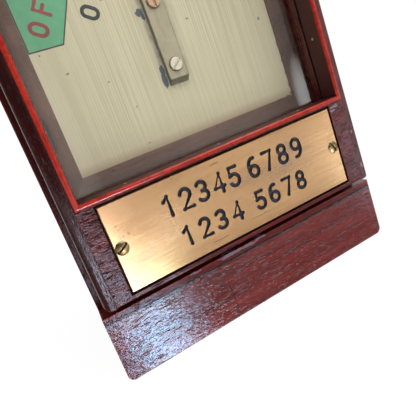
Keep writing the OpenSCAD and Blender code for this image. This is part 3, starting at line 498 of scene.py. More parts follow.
def mahogany(name, along, seed, tint=1.0, gloss=0.18, dents=(), shine=0.48, joint=0.0, scuffs=(), crazed=0.4,
             relief=0.15, dull=0.0):
    """Polished mahogany whose grain runs along X, Y or Z. tint makes it lighter or darker.
    joint is the height of a dark joint line, shine the strength of the polish, crazed its cracks
    and relief their depth in millimetres. dull takes the polish off the edges. A pair of values for
    crazed gives those at the left and at the right."""
    wood = bpy.context.scene.repeater_wood
    material, tree, shader, where = new_material(name)
    at = turned(tree, where, GRAIN_TURN[along], (0.137 * seed, 0.071 * seed, 0.053 * seed))
    grain = place_group(tree, grain_group(), Vector=at, Dark=[c * tint for c in wood.dark],
                        Light=[c * tint for c in wood.light])
    if isinstance(crazed, tuple):
        across = axes_of(tree, where)["X"]
        crazed = spread(tree, across, -52 * MM, 45 * MM, crazed[0], crazed[1])
    polish = place_group(tree, varnish_group(), Vector=at, Crazing=crazed)
    edge = place_group(tree, edges_group(), Vector=where)
    colour = grain["Color"]
    if dents:
        dent = marks(tree, where, dents)
        colour = tinted(tree, dent, 0.85, colour, (0.016, 0.006, 0.006))
    if scuffs:
        scuff = marks(tree, where, scuffs, 0.0008)
        colour = tinted(tree, scuff, 0.55, colour, (0.36, 0.34, 0.42))
    colour = tinted(tree, edge["Worn"], 0.35, colour, (0.30, 0.12, 0.09))
    # Darker in the crevices: painted shade.
    colour = tinted(tree, edge["Crevice shade"], 0.8, colour, (0.006, 0.002, 0.002))
    colour = tinted(tree, polish["Checks"], 0.55, colour, (0.020, 0.006, 0.006))
    if joint:
        height = axes_of(tree, where)["Z"]
        off = maths(tree, "ABSOLUTE", maths(tree, "SUBTRACT", height, joint))
        colour = blend_colour(tree, spread(tree, off, 0.35 * MM, 0.6 * MM, 0.95, 0.0), colour, (0.004, 0.001, 0.001))
    tree.links.new(colour, shader.inputs["Base Color"])
    rough = maths(tree, "MULTIPLY_ADD", polish["Rubbed"], 0.13, gloss)
    rough = maths(tree, "MULTIPLY_ADD", grain["Pores"], 0.30, rough)
    rough = maths(tree, "MULTIPLY_ADD", edge["Crevice shade"], 0.4, rough)
    rough = maths(tree, "MULTIPLY_ADD", edge["Worn"], 0.3, rough)
    rough = maths(tree, "MULTIPLY_ADD", edge["Edge"], dull, rough)
    rough = maths(tree, "MULTIPLY_ADD", polish["Checks"], 0.35, rough)
    tree.links.new(rough, shader.inputs["Roughness"])
    height = maths(tree, "MULTIPLY_ADD", grain["Pores"], -0.45, polish["Height"])
    bumped(tree, shader, height, relief * MM)
    shader.inputs["Specular IOR Level"].default_value = shine
    return material


def bead_finish():
    """Bright red polish on the nose of the bead, darkened deeper down towards the glass as painted shade."""
    wood = bpy.context.scene.repeater_wood
    material, tree, shader, where = new_material("Bead polish")
    streaks = noise(tree, stretched(tree, where, (0.35, 0.35, 0.35)), 4, 0.65, 0.8)
    dark = [c * 0.55 for c in wood.bead]
    colour = blend_colour(tree, spread(tree, streaks, 0.36, 0.60), dark, wood.bead[:])
    # Darker red deeper down towards the glass: painted shade.
    depth = axes_of(tree, where)["Y"]
    deep = spread(tree, depth, DOOR_FACE_Y - 1.25 * MM, DOOR_FACE_Y - 0.45 * MM)
    inner = blend_colour(tree, spread(tree, streaks, 0.30, 0.70), (0.042, 0.005, 0.0035), (0.072, 0.008, 0.006))
    colour = blend_colour(tree, deep, colour, inner)
    edge = place_group(tree, edges_group(), Vector=where)
    worn = maths(tree, "MULTIPLY", edge["Worn"], maths(tree, "MULTIPLY_ADD", deep, -0.25, 0.25))
    colour = blend_colour(tree, worn, colour, (0.62, 0.20, 0.12))
    # Darker in the crevices: painted shade.
    colour = tinted(tree, edge["Crevice shade"], 0.6, colour, (0.010, 0.003, 0.003))
    tree.links.new(colour, shader.inputs["Base Color"])
    rough = maths(tree, "MULTIPLY_ADD", deep, 0.40, spread(tree, streaks, 0.3, 0.7, 0.06, 0.14))
    tree.links.new(rough, shader.inputs["Roughness"])
    shader.inputs["Specular IOR Level"].default_value = 0.5
    bumped(tree, shader, noise(tree, stretched(tree, where, (0.4, 0.4, 0.4)), 2, 0.5, 0.3), 0.00002)
    return material


def surround_finish():
    """Dull purple-brown wood with dust and small pale scratches, and painted light: dark near the glass, lighter
    towards the dial and lightest on the left side.
    """
    material, tree, shader, where = new_material("Surround polish")
    at = turned(tree, where, (0, 0, 0), (0.4, 0.1, 0.2))
    grain = place_group(tree, grain_group(), Vector=at, Dark=(0.078, 0.036, 0.024), Light=(0.150, 0.078, 0.055))
    axes = axes_of(tree, where)
    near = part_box("dial_surround")[0].y
    # Painted light: the grain's colour is scaled from darker near the glass to lighter at the dial, most on the left
    # side.
    far = blend_colour(tree, spread(tree, axes["X"], -57.5 * MM, -59.5 * MM), (1.28, 1.22, 1.20), (2.15, 1.65, 1.50))
    light = blend_colour(tree, spread(tree, axes["Y"], near, DIAL_FACE_Y), (0.52, 0.50, 0.50), far)
    lit = put(tree, "ShaderNodeVectorMath", operation="MULTIPLY")
    tree.links.new(grain["Color"], lit.inputs[0])
    tree.links.new(light, lit.inputs[1])
    brown = marks(tree, where, ((-60.7, 105.5, 1.3, 7.0), (-61.0, 101.0, 1.0, 5.0)), 0.0008, 0.5, 0.1)
    base = tinted(tree, brown, 0.75, lit.outputs[0], (0.075, 0.028, 0.012))
    stain = marks(tree, where, ((-61.4, 106.5, 0.9, 5.0), (-61.4, 101.5, 0.7, 4.5)), 0.0006, 0.5, 0.2)
    base = blend_colour(tree, stain, base, (0.006, 0.002, 0.001))
    dust = noise(tree, stretched(tree, where, (0.7, 0.7, 0.7)), 2, 0.5, 0.0)
    colour = blend_colour(tree, spread(tree, dust, 0.70, 0.78, 0.0, 0.4), base, (0.42, 0.38, 0.34))
    edge = place_group(tree, edges_group(), Vector=where)
    # Darker in the crevices: painted shade.
    colour = tinted(tree, edge["Crevice shade"], 0.5, colour, (0.02, 0.01, 0.01))
    tree.links.new(colour, shader.inputs["Base Color"])
    shader.inputs["Roughness"].default_value = 0.42
    shader.inputs["Specular IOR Level"].default_value = 0.2
    bumped(tree, shader, noise(tree, stretched(tree, where, (0.3, 0.6, 0.6)), 3, 0.6, 0.0), 0.00006)
    return material


def plain_wood(name, along, seed):
    material, tree, shader, where = new_material(name)
    at = turned(tree, where, GRAIN_TURN[along], (0.21 * seed, 0.05 * seed, 0.11 * seed))
    grain = place_group(tree, grain_group(), Vector=at, Dark=(0.22, 0.11, 0.05), Light=(0.42, 0.26, 0.13))
    tree.links.new(grain["Color"], shader.inputs["Base Color"])
    shader.inputs["Roughness"].default_value = 0.62
    bumped(tree, shader, grain["Tone"], 0.00015)
    return material


def brass_finish(name, colour, rough=0.28, turn=(0, 0, 0), tarnish=0.35, worn=0.3, depth=0.00003):
    """Old brass: brushed lines, brown clouds, dark flecks and brighter edges."""
    material, tree, shader, where = new_material(name)
    at = turned(tree, where, turn)
    lines = place_group(tree, brushed_group(), Vector=at)
    stain = place_group(tree, tarnish_group(), Vector=at)
    brown = [colour[0] * 0.62, colour[1] * 0.52, colour[2] * 0.42]
    shade = blend_colour(tree, maths(tree, "MULTIPLY", stain["Cloud"], tarnish), colour, brown)
    shade = tinted(tree, stain["Flecks"], 0.6, shade, (0.10, 0.07, 0.05))
    edge = place_group(tree, edges_group(), Vector=where)
    shade = blend_colour(tree, maths(tree, "MULTIPLY", edge["Worn"], worn), shade, (0.90, 0.72, 0.42))
    # Darker in the crevices: painted shade.
    shade = tinted(tree, edge["Crevice shade"], 0.7, shade, (0.07, 0.06, 0.03))
    tree.links.new(shade, shader.inputs["Base Color"])
    shader.inputs["Metallic"].default_value = 1.0
    level = maths(tree, "MULTIPLY_ADD", stain["Cloud"], 0.16, rough)
    tree.links.new(maths(tree, "MULTIPLY_ADD", lines["Lines"], 0.16, level), shader.inputs["Roughness"])
    bumped(tree, shader, maths(tree, "MULTIPLY_ADD", lines["Scratches"], -0.5, lines["Lines"]), depth)
    return material


def metal_finish(name, colour, rough, metallic=1.0):
    material, tree, shader, where = new_material(name)
    stain = place_group(tree, tarnish_group(), Vector=where)
    dark = [c * 0.55 for c in colour]
    shade = tinted(tree, stain["Cloud"], 0.5, colour, dark)
    edge = place_group(tree, edges_group(), Vector=where)
    shade = tinted(tree, edge["Worn"], 0.4, shade, [min(1.0, c * 1.7) for c in colour])
    # Darker in the crevices: painted shade.
    shade = tinted(tree, edge["Crevice shade"], 0.5, shade, [c * 0.2 for c in colour])
    tree.links.new(shade, shader.inputs["Base Color"])
    shader.inputs["Metallic"].default_value = metallic
    tree.links.new(spread(tree, stain["Cloud"], 0.0, 1.0, rough, rough + 0.2), shader.inputs["Roughness"])
    bumped(tree, shader, noise(tree, stretched(tree, where, (1.6, 1.6, 1.6)), 3, 0.6), 0.00003)
    return material


def paint_finish(name, colour, rough=0.35, mottle=0.12):
    material, tree, shader, where = new_material(name)
    cloud = noise(tree, stretched(tree, where, (0.25, 0.25, 0.25)), 4, 0.6, 0.2)
    dark = [c * (1 - 2.2 * mottle) for c in colour]
    shade = blend_colour(tree, spread(tree, cloud, 0.35, 0.65), dark, colour)
    tree.links.new(shade, shader.inputs["Base Color"])
    tree.links.new(spread(tree, cloud, 0.3, 0.7, rough, rough + 0.15), shader.inputs["Roughness"])
    bumped(tree, shader, noise(tree, stretched(tree, where, (2.0, 2.0, 2.0)), 2, 0.5), 0.00003)
    return material


def dial_finish():
    """Cream paint combed with fine upright lines, browner at its foot, chipped beside the post, made paler lower
    down and towards its sides as painted light, with a grey smudge beside the post that is partly painted shadow.
    """
    dial = bpy.context.scene.repeater_dial
    material, tree, shader, where = new_material("Dial paint")
    axes = axes_of(tree, where)
    lines = noise(tree, stretched(tree, where, (0.8, 0.0, 0.012)), 2, 0.6, 0.0)
    fade = noise(tree, stretched(tree, where, (0.02, 0.0, 0.02)), 2, 0.5, 0.0)
    phase = maths(tree, "MULTIPLY_ADD", lines, 4.0, maths(tree, "MULTIPLY", axes["X"], 2 * math.pi * 0.8 / MM))
    teeth = maths(tree, "MULTIPLY_ADD", maths(tree, "SINE", phase), 0.35, spread(tree, lines, 0.65, 0.35))
    comb = maths(tree, "MULTIPLY", teeth, spread(tree, fade, 0.35, 0.6, 0.36, 0.62))
    dark = [dial.cream[0] * 0.66, dial.cream[1] * 0.62, dial.cream[2] * 0.54]
    shade = blend_colour(tree, comb, dial.cream[:], dark)
    # Painted light: paler lower down.
    low = spread(tree, axes["Z"], 140 * MM, 95 * MM, 0.0, 0.35)
    shade = blend_colour(tree, low, shade, (0.84, 0.74, 0.52))
    cloud = noise(tree, stretched(tree, where, (0.03, 0.03, 0.03)), 3, 0.6, 0.0)
    shade = blend_colour(tree, spread(tree, cloud, 0.45, 0.75, 0.0, 0.30), shade, (0.62, 0.52, 0.36))
    foot = maths(tree, "ADD", spread(tree, axes["Z"], DIAL_FOOT_Z, DIAL_FOOT_Z + 4.5 * MM, 0.50, 0.0),
                 spread(tree, axes["Z"], DIAL_FOOT_Z, DIAL_FOOT_Z + 14 * MM, 0.10, 0.0))
    # Painted light: paler towards the sides.
    sides = spread(tree, maths(tree, "ABSOLUTE", axes["X"]), 32 * MM, 56 * MM, 0.0, 0.5)
    shade = blend_colour(tree, sides, shade, (0.80, 0.70, 0.48))
    shade = blend_colour(tree, foot, shade, (0.34, 0.20, 0.09))
    # A grey smudge along both sides of the post: partly dirt and partly the post's painted shadow.
    beside = spread(tree, maths(tree, "ABSOLUTE", axes["X"]), 7.6 * MM, 4.8 * MM)
    smudge_and_shadow = noise(tree, stretched(tree, where, (0.45, 0.0, 0.22)), 4, 0.7, 0.6)
    smudge_and_shadow = maths(tree, "MULTIPLY", spread(tree, smudge_and_shadow, 0.44, 0.60, 0.05, 0.62), beside)
    smudge_and_shadow = maths(tree, "MULTIPLY", smudge_and_shadow, spread(tree, axes["Z"], POST_LOW.z - 3 * MM, POST_LOW.z + 2 * MM))
    shade = blend_colour(tree, smudge_and_shadow, shade, (0.25, 0.24, 0.22))
    specks = marks(tree, where, dial_specks())
    shade = tinted(tree, specks, 0.75, shade, (0.17, 0.19, 0.21))
    shade = blend_colour(tree, marks(tree, where, EDGE_WEAR, 0.0005), shade, (0.22, 0.14, 0.10))
    chips = marks(tree, where, CHIPS, 0.0009)
    shade = blend_colour(tree, chips, shade, (0.105, 0.130, 0.150))
    tree.links.new(shade, shader.inputs["Base Color"])
    shader.inputs["Roughness"].default_value = 0.48
    shader.inputs["Specular IOR Level"].default_value = 0.35
    height = maths(tree, "MULTIPLY_ADD", chips, -1.5, comb)
    bumped(tree, shader, height, 0.00006)
    return material


# Chips of paint beside the post: X, Z, half width and half height in millimetres
CHIPS = ((-6.9, 140.6, 1.6, 1.7), (-5.6, 138.6, 0.8, 1.5), (-6.3, 110.6, 1.3, 3.6), (-6.0, 114.8, 1.0, 2.6),
         (5.2, 137.6, 0.5, 0.9))
# Worn places along the dial's right edge and lower right corner, in the same way
EDGE_WEAR = ((56.3, 88.5, 0.6, 1.2), (56.3, 95.0, 0.4, 0.9), (56.3, 101.5, 0.5, 0.7), (53.6, 83.7, 1.2, 0.4),
             (55.9, 84.5, 0.6, 0.7), (56.3, 110.0, 0.35, 1.6), (49.0, 83.6, 0.9, 0.3))


def dial_specks():
    """Small dark specks, scattered over the dial by a seeded draw."""
    random.seed(7)
    specks = [(-45.0, 125.2, 0.7, 0.4), (50.2, 123.9, 0.6, 0.9), (13.7, 133.0, 0.7, 0.5), (-30.4, 117.3, 0.5, 0.3),
              (-22.9, 103.8, 0.4, 0.4), (-23.4, 87.2, 0.5, 0.4), (-52.4, 134.8, 0.4, 0.4)]
    for _ in range(9):
        specks.append((random.uniform(-52, 52), random.uniform(150, 254), random.uniform(0.3, 0.6), 0.4))
    return specks


def glass_finish():
    """Clear glass that lets lamp light and scattered light straight through."""
    material, tree, shader, _ = new_material("Old glass")
    shader.inputs["Base Color"].default_value = (0.97, 0.985, 0.975, 1)
    shader.inputs["Transmission Weight"].default_value = 1.0
    shader.inputs["Roughness"].default_value = 0.0
    shader.inputs["IOR"].default_value = 1.42
    end = next(n for n in tree.nodes if n.type == "OUTPUT_MATERIAL")
    clear = tree.nodes.new("ShaderNodeBsdfTransparent")
    clear.inputs["Color"].default_value = (0.97, 0.985, 0.975, 1)
    path = tree.nodes.new("ShaderNodeLightPath").outputs
    mix = tree.nodes.new("ShaderNodeMixShader")
    tree.links.new(maths(tree, "MAXIMUM", path["Is Shadow Ray"], path["Is Diffuse Ray"]), mix.inputs[0])
    tree.links.new(shader.outputs[0], mix.inputs[1])
    tree.links.new(clear.outputs[0], mix.inputs[2])
    tree.links.new(mix.outputs[0], end.inputs["Surface"])
    return material


# Strokes for painted letters and engraved figures, drawn in a box 0..1 high

def bow(cx, cy, rx, ry, start, stop, steps=14):
    points = []
    for i in range(steps + 1):
        a = math.radians(start + (stop - start) * i / steps)
        points.append((cx + rx * math.cos(a), cy + ry * math.sin(a)))
    return points


ROUND = bow(0.31, 0.69, 0.31, 0.31, 0, 180) + bow(0.31, 0.31, 0.31, 0.31, 180, 360)
STROKES = {
    "O": (0.62, [ROUND + [ROUND[0]]]),
    "N": (0.60, [[(0, 0), (0, 1), (0.6, 0), (0.6, 1)]]),
    "F": (0.54, [[(0, 0), (0, 1), (0.54, 1)], [(0, 0.53), (0.44, 0.53)]]),
    "1": (0.30, [[(0.05, 0.78), (0.30, 1), (0.30, 0)]]),
    "2": (0.55, [bow(0.28, 0.72, 0.27, 0.28, 165, -35) + [(0.01, 0), (0.56, 0)]]),
    "3": (0.54, [bow(0.25, 0.75, 0.25, 0.25, 150, -90) + bow(0.25, 0.26, 0.28, 0.26, 90, -150)]),
    "4": (0.58, [[(0.43, 0), (0.43, 1), (0, 0.28), (0.58, 0.28)]]),
    "5": (0.54, [[(0.50, 1), (0.08, 1), (0.03, 0.55)] + bow(0.25, 0.31, 0.28, 0.31, 125, -150)]),
    "6": (0.54, [bow(0.27, 0.29, 0.27, 0.29, 180, 540), [(0, 0.29)] + bow(0.34, 0.55, 0.34, 0.45, 180, 80)]),
    "7": (0.54, [[(0, 1), (0.54, 1), (0.18, 0)]]),
    "8": (0.54, [bow(0.27, 0.76, 0.23, 0.24, -90, 270), bow(0.27, 0.26, 0.27, 0.26, 90, 450)]),
    "9": (0.54, [bow(0.27, 0.71, 0.27, 0.29, 0, 360), [(0.54, 0.71)] + bow(0.20, 0.45, 0.34, 0.45, 0, -100)]),
}


def stroke_mesh(name, characters, height, radius, pitch=None, gap=0.30, word_gap=0.75):
    """Round strokes along the skeleton of each character, on the plane Y = 0, as one closed mesh.
    The text starts at X = 0 and stands on Z = 0. With pitch, every character gets that much room."""
    pieces = []
    x = 0.0
    for character in characters:
        if character == " ":
            x += word_gap * height
            continue
        wide, strokes = STROKES[character]
        for stroke in strokes:
            points = [Vector((x + u * height, 0, v * height)) for u, v in stroke]
            pieces.append(rod_through(name, points, radius))
        x += pitch if pitch else (wide + gap) * height
    pick(*pieces)
    bpy.ops.object.join()
    whole = bpy.context.object
    remesh = whole.modifiers.new("Join", "REMESH")
    remesh.mode = "VOXEL"
    remesh.voxel_size = radius / 3.6
    bpy.ops.object.modifier_apply(modifier=remesh.name)
    relax = whole.modifiers.new("Relax", "SMOOTH")
    relax.iterations = 1
    bpy.ops.object.modifier_apply(modifier=relax.name)
    whole.name = name
    return whole


def rod_through(name, points, radius):
    """A round bar with ball ends through points."""
    line = bpy.data.curves.new(name, "CURVE")
    line.dimensions = "3D"
    spline = line.splines.new("POLY")
    closed = (points[0] - points[-1]).length < radius * 0.01
    run = points[:-1] if closed else points
    spline.points.add(len(run) - 1)
    for slot, point in zip(spline.points, run):
        slot.co = (*point, 1)
    spline.use_cyclic_u = closed
    line.bevel_depth = radius
    line.bevel_resolution = 3
    line.use_fill_caps = True
    bar = bpy.data.objects.new(name, line)
    bpy.context.scene.collection.objects.link(bar)
    pick(bar)
    bpy.ops.object.convert(target="MESH")
    bar = bpy.context.object
    balls = []
    for point in run:
        bpy.ops.mesh.primitive_ico_sphere_add(subdivisions=2, radius=radius * 1.02, location=point)
        balls.append(bpy.context.object)
    pick(bar, *balls)
    bpy.ops.object.join()
    return bpy.context.object


def slab_from(name, outline, y_front, thickness):
    """A thin plate whose outline is given in X and Z, its face at y_front."""
    deselect()
    bpy.ops.mesh.primitive_circle_add(vertices=len(outline), radius=0.01, fill_type="NGON")
    piece = bpy.context.object
    piece.name = name
    for vertex, (x, z) in zip(piece.data.vertices, outline):
        vertex.co = (x, y_front, z)
    bpy.ops.object.mode_set(mode="EDIT")
    bpy.ops.mesh.select_all(action="SELECT")
    bpy.ops.mesh.extrude_region_move(TRANSFORM_OT_translate={"value": (0, thickness, 0)})
    bpy.ops.object.mode_set(mode="OBJECT")
    piece.matrix_world = Matrix.Identity(4)
    outward(piece)
    return piece


class REPEATER_OT_woodwork(bpy.types.Operator):
    """Dress the case, the base and the door's frame in mahogany"""
    bl_idname = "repeater.woodwork"
    bl_label = "Woodwork"

    # Dents and a scratch in the plinth: X, Z, half width and half height in millimetres
    DENTS = ((-62.3, 10.6, 0.8, 1.3), (-60.8, 4.6, 2.6, 0.9), (-56.6, 17.4, 0.8, 0.5), (-54.3, 16.6, 0.5, 0.4),
             (-20.6, 18.0, 1.4, 0.8), (-17.6, 12.5, 0.16, 6.0), (-17.4, 4.0, 0.5, 2.4))

    # Pale rubbed places on the board's front edge and on the right stile, in the same way
    BOARD_SCUFFS = ((-12.0, 29.2, 6.0, 0.8), (-2.0, 29.0, 5.0, 0.6), (4.5, 29.6, 3.0, 0.5), (-30.0, 29.3, 3.0, 0.4))
    STILE_SCUFFS = ((66.5, 58.0, 0.4, 0.9), (64.0, 49.0, 0.3, 0.7), (67.2, 40.5, 0.5, 1.4))
    RAIL_SCUFFS = ((60.4, 72.6, 2.4, 0.55), (59.2, 71.2, 1.8, 0.40), (61.9, 73.3, 1.2, 0.35), (62.2, 37.0, 0.4, 0.5))

    def execute(self, context):
        radius = context.scene.repeater_wood.edge_radius
        # The left stile's tint, far darker than the right stile's, is painted shade.
        upright = mahogany("Mahogany upright", "Z", 1, 0.24, 0.10, relief=0.20, dull=0.7)
        right = mahogany("Mahogany right upright", "Z", 7, 0.62, scuffs=self.STILE_SCUFFS, crazed=0.15)
        upright_side = mahogany("Mahogany case side", "Z", 2, 0.55, shine=0.22, dull=0.4)
        level = mahogany("Mahogany rail", "X", 3, 0.66, 0.08, shine=0.37, scuffs=self.RAIL_SCUFFS,
                         crazed=(1.8, 0.2), relief=0.21)
        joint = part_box("base_plinth")[1].z
        base = mahogany("Mahogany base", "X", 4, 1.15, 0.09, self.DENTS, 0.85, joint, crazed=1.0)
        board = mahogany("Mahogany base board", "X", 5, 0.90, 0.08, (), 0.34, joint, self.BOARD_SCUFFS, 0.9)
        cap = mahogany("Mahogany cap", "X", 6, 1.0)
        jobs = [
            ("door_stile_left", upright, radius * 0.4), ("door_stile_right", right, radius * 0.7),
            ("door_bottom_rail", level, radius), ("door_top_rail", level, radius),
            ("base_plinth", base, radius * 2), ("base_board", board, radius * 1.6),
            ("case_side_left", upright_side, radius), ("case_side_right", upright_side, radius),
            ("case_bottom", level, radius), ("case_top", level, radius),
            ("case_back", upright_side, radius), ("cap_board", cap, radius),
        ]
        for node, material, edge in jobs:
            dress_node(node, material, edge, 3)
        dress_node("dial_surround", surround_finish(), 0.0003, 2)
        dress_node("dial_board", plain_wood("Pine board", "Z", 1))
        return {"FINISHED"}


class REPEATER_OT_glazing(bpy.types.Operator):
    """Dress the beads, their pins and the glass"""
    bl_idname = "repeater.glazing"
    bl_label = "Glazing"

    def execute(self, context):
        polish = bead_finish()
        for node in ("bead_left", "bead_right", "bead_top", "bead_bottom"):
            dress_node(node, polish, 0.00018, 2, 50)
        dress_node("bead_pins", brass_finish("Pin brass", (0.80, 0.60, 0.30), 0.3), 0.00012, 2)
        dress_node("glass_pane", glass_finish(), 0.00025, 2)
        return {"FINISHED"}


class REPEATER_OT_name_plate(bpy.types.Operator):
    """Dress the brass plate, cut plain figures into it and add its screws"""
    bl_idname = "repeater.name_plate"
    bl_label = "Name plate"

    # Each word: its figures, the left side of the first one, their pitch, the baseline and the height
    ROWS = (("12345", -34.4, 7.8, 57.3, 9.9), ("6789", 7.0, 7.9, 57.3, 9.9),
            ("1234", -31.0, 8.0, 42.8, 9.4), ("5678", 5.4, 7.6, 42.8, 9.4))

    def execute(self, context):
        brass = context.scene.repeater_brass
        plate = merged_copy("name_plate", "name-plate.dressed")
        soften(plate, 0.15 * MM)
        plate.data.materials.append(plate_finish())
        plate.data.materials.append(paint_finish("Engraving wax", brass.engraving[:], 0.4))
        radius = brass.cutter_radius
        for figures, x, pitch, z, height in self.ROWS:
            text = stroke_mesh("Figures", figures, height * MM - 2 * radius, radius, pitch * MM)
            text.location = (x * MM + radius, PLATE_LOW.y, z * MM + radius)
            settle(text)
            text.data.materials.clear()
            text.data.materials.append(plate.data.materials[1])
            pick(plate)
            cut = plate.modifiers.new("Engrave", "BOOLEAN")
            cut.operation = "DIFFERENCE"
            cut.object = text
            cut.solver = "EXACT"
            cut.material_mode = "TRANSFER"
            bpy.ops.object.modifier_apply(modifier=cut.name)
            bpy.data.objects.remove(text)
        soften(plate, 0.07 * MM, 1, 50)
        bpy.ops.mesh.customdata_custom_splitnormals_clear()
        for face in plate.data.polygons:
            face.use_smooth = abs(face.normal.y) < 0.999
        finish_piece(plate, "door", "name_brass", "name_plate")
        dress_node("name_plate_screws", brass_finish("Plate screw brass", (0.46, 0.33, 0.14), 0.2), 0.00012, 2)
        return {"FINISHED"}


def plate_stains():
    """Scratches, grey stains and specks in the plate: places in millimetres, strength and colour."""
    scratches = [(-15.5, 39.6, 4.6, 0.22), (6.5, 41.1, 6.5, 0.16), (-7.0, 70.7, 2.2, 0.3), (30.0, 44.5, 8.0, 0.10)]
    clouds = [(27.0, 57.0, 3.0, 1.6), (29.5, 64.5, 2.4, 2.6), (38.0, 60.0, 5.0, 1.0), (-48.0, 47.0, 4.0, 0.7)]
    random.seed(11)
    specks = [(random.uniform(-54, -46), random.uniform(54, 64), random.uniform(0.2, 0.5), 0.25) for _ in range(9)]
    specks += [(random.uniform(-56, 55), random.uniform(37, 72), random.uniform(0.15, 0.4), 0.2) for _ in range(10)]
    return ((scratches, 0.6, (0.20, 0.12, 0.06)), (clouds, 0.28, (0.36, 0.25, 0.17)),
            (specks, 0.6, (0.16, 0.11, 0.07)))


def plate_finish():
    """Brushed brass with brown clouds, fine scratches and a green ring round each screw."""
    brass = bpy.context.scene.repeater_brass
    material = brass_finish("Name plate brass", brass.plate[:], 0.07, (0, 0, 0), 0.20, 0.15, 0.000003)
    tree, shader, where, shade = opened(material)
    axes = axes_of(tree, where)
    inset = 3.4 * MM
    for x in (PLATE_LOW.x + inset, PLATE_HIGH.x - inset):
        z = (PLATE_LOW.z + PLATE_HIGH.z) / 2
        far = distance(tree, axes, x, z)
        ring = spread(tree, far, 0.0026, 0.0032, 0.8, 0.0)
        shade = blend_colour(tree, ring, shade, (0.17, 0.21, 0.15))
    streaks = noise(tree, stretched(tree, where, (0.03, 1.0, 1.6)), 3, 0.6, 0.1)
    shade = blend_colour(tree, spread(tree, streaks, 0.52, 0.70, 0.0, 0.30), shade, (0.50, 0.27, 0.12))
    shade = blend_colour(tree, spread(tree, streaks, 0.48, 0.32, 0.0, 0.30), shade, (0.80, 0.56, 0.30))
    dull_places = ((24.0, 56.0, 17.0, 5.5), (30.0, 62.0, 9.0, 6.0), (8.0, 58.0, 12.0, 3.0))
    haze = marks(tree, where, dull_places, 0.002, 0.9, 0.0)
    shade = tinted(tree, haze, 0.45, shade, (0.40, 0.27, 0.18))
    for places, share, stain in plate_stains():
        spots = marks(tree, where, places, 0.0005)
        shade = blend_colour(tree, maths(tree, "MULTIPLY", spots, share), shade, stain)
    tree.links.new(shade, shader.inputs["Base Color"])
    return material


class REPEATER_OT_dial(bpy.types.Operator):
    """Dress the dial and paint its field, its outline and its words"""
    bl_idname = "repeater.dial"
    bl_label = "Dial"

    # The field's outline in millimetres, in X and Z: its foot, its slanting side and its top
    FIELD = ((-55.5, 136.8), (-42.0, 136.8), (-29.0, 162.2), (-44.5, 194.0), (-55.5, 194.0))
    LINE = 0.55
    READ_TURN = 58.0
    WORDS = (("OFF", (-48.6, 144.2), "Letter red"), ("ON", (-26.8, 145.6), "Letter black"))

    def execute(self, context):
        dial = context.scene.repeater_dial
        dress_node("dial_plate", dial_finish())
        paint = 0.03 * MM
        outline = [(x * MM, z * MM) for x, z in self.FIELD]
        edge = slab_from("field-outline", grown(outline, self.LINE * MM), DIAL_FACE_Y - paint, paint)
        dress(edge, paint_finish("Outline black", (0.045, 0.050, 0.052), 0.45), "case", "dial_paint")
        field = slab_from("green-field", outline, DIAL_FACE_Y - 2 * paint, paint)
        dress(field, paint_finish("Field green", dial.green[:], 0.42, 0.05), "case", "dial_paint")
        colours = {"Letter red": (0.36, 0.055, 0.055), "Letter black": (0.030, 0.034, 0.038)}
        height = dial.letter_height
        for word, (x, z), paint_name in self.WORDS:
            stroke = 0.8 * MM
            text = stroke_mesh("word-" + word.lower(), word, height - 2 * stroke, stroke, dial.letter_pitch)
            turn = math.radians(self.READ_TURN)
            middle = Vector(((height - 2 * stroke) * 0.31, 0, (height - 2 * stroke) / 2))
            spin = Matrix.Rotation(-turn, 4, "Y")
            place = Vector((x * MM, DIAL_FACE_Y - 2 * paint, z * MM))
            flat = Matrix.Diagonal((1, 0.05, 1, 1))
            text.matrix_world = Matrix.Translation(place) @ spin @ flat @ Matrix.Translation(-middle)
            settle(text)
            smooth(text, 60)
            dress(text, paint_finish(paint_name, colours[paint_name], 0.42), "case", "dial_paint")
        return {"FINISHED"}


def grown(outline, by):
    """The outline moved outwards by a distance, for the painted line round a field."""
    count = len(outline)
    result = []
    for i in range(count):
        before, here, after = (Vector(outline[(i + k) % count]) for k in (-1, 0, 1))
        a = (here - before).normalized()
        b = (after - here).normalized()
        normal = (Vector((a.y, -a.x)) + Vector((b.y, -b.x))).normalized()
        result.append(here + normal * by / max(0.3, normal.dot(Vector((a.y, -a.x)))))
    return result


class REPEATER_OT_post_and_arm(bpy.types.Operator):
    """Dress the post, its screws, the arm and its boss"""
    bl_idname = "repeater.post_and_arm"
    bl_label = "Post and arm"

    def execute(self, context):
        dress_node("signal_post", post_finish(), 0.00025, 3)
        bright = brass_finish("Dial screw brass", (0.78, 0.62, 0.44), 0.10, (0, 20, 0), 0.3, 0.3, 0.00001)
        dress_node("post_screws", two_screws(), 0.00018, 2)
        dress_node("signal_arm", arm_finish(), 0.0002, 2)
        brass = brass_finish("Arm brass", context.scene.repeater_brass.brass[:], 0.25)
        dress_node("arm_boss", brass, 0.00025, 2)
        dress_node("arm_screw", bright, 0.0002, 2)
        return {"FINISHED"}


def two_screws():
    """Brass screws, the lower one silvery and the upper one coppery."""
    material = brass_finish("Post screw brass", (0.84, 0.76, 0.60), 0.10, (0, 20, 0), 0.3, 0.3, 0.00001)
    tree, shader, where, shade = opened(material)
    height = axes_of(tree, where)["Z"]
    low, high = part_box("post_screws")
    upper = spread(tree, height, (low.z + high.z) / 2 - MM, (low.z + high.z) / 2 + MM)
    copper = put(tree, "ShaderNodeVectorMath", operation="MULTIPLY")
    tree.links.new(shade, copper.inputs[0])
    copper.inputs[1].default_value = (0.80, 0.56, 0.44)
    tree.links.new(blend_colour(tree, upper, shade, copper.outputs[0]), shader.inputs["Base Color"])
    return material


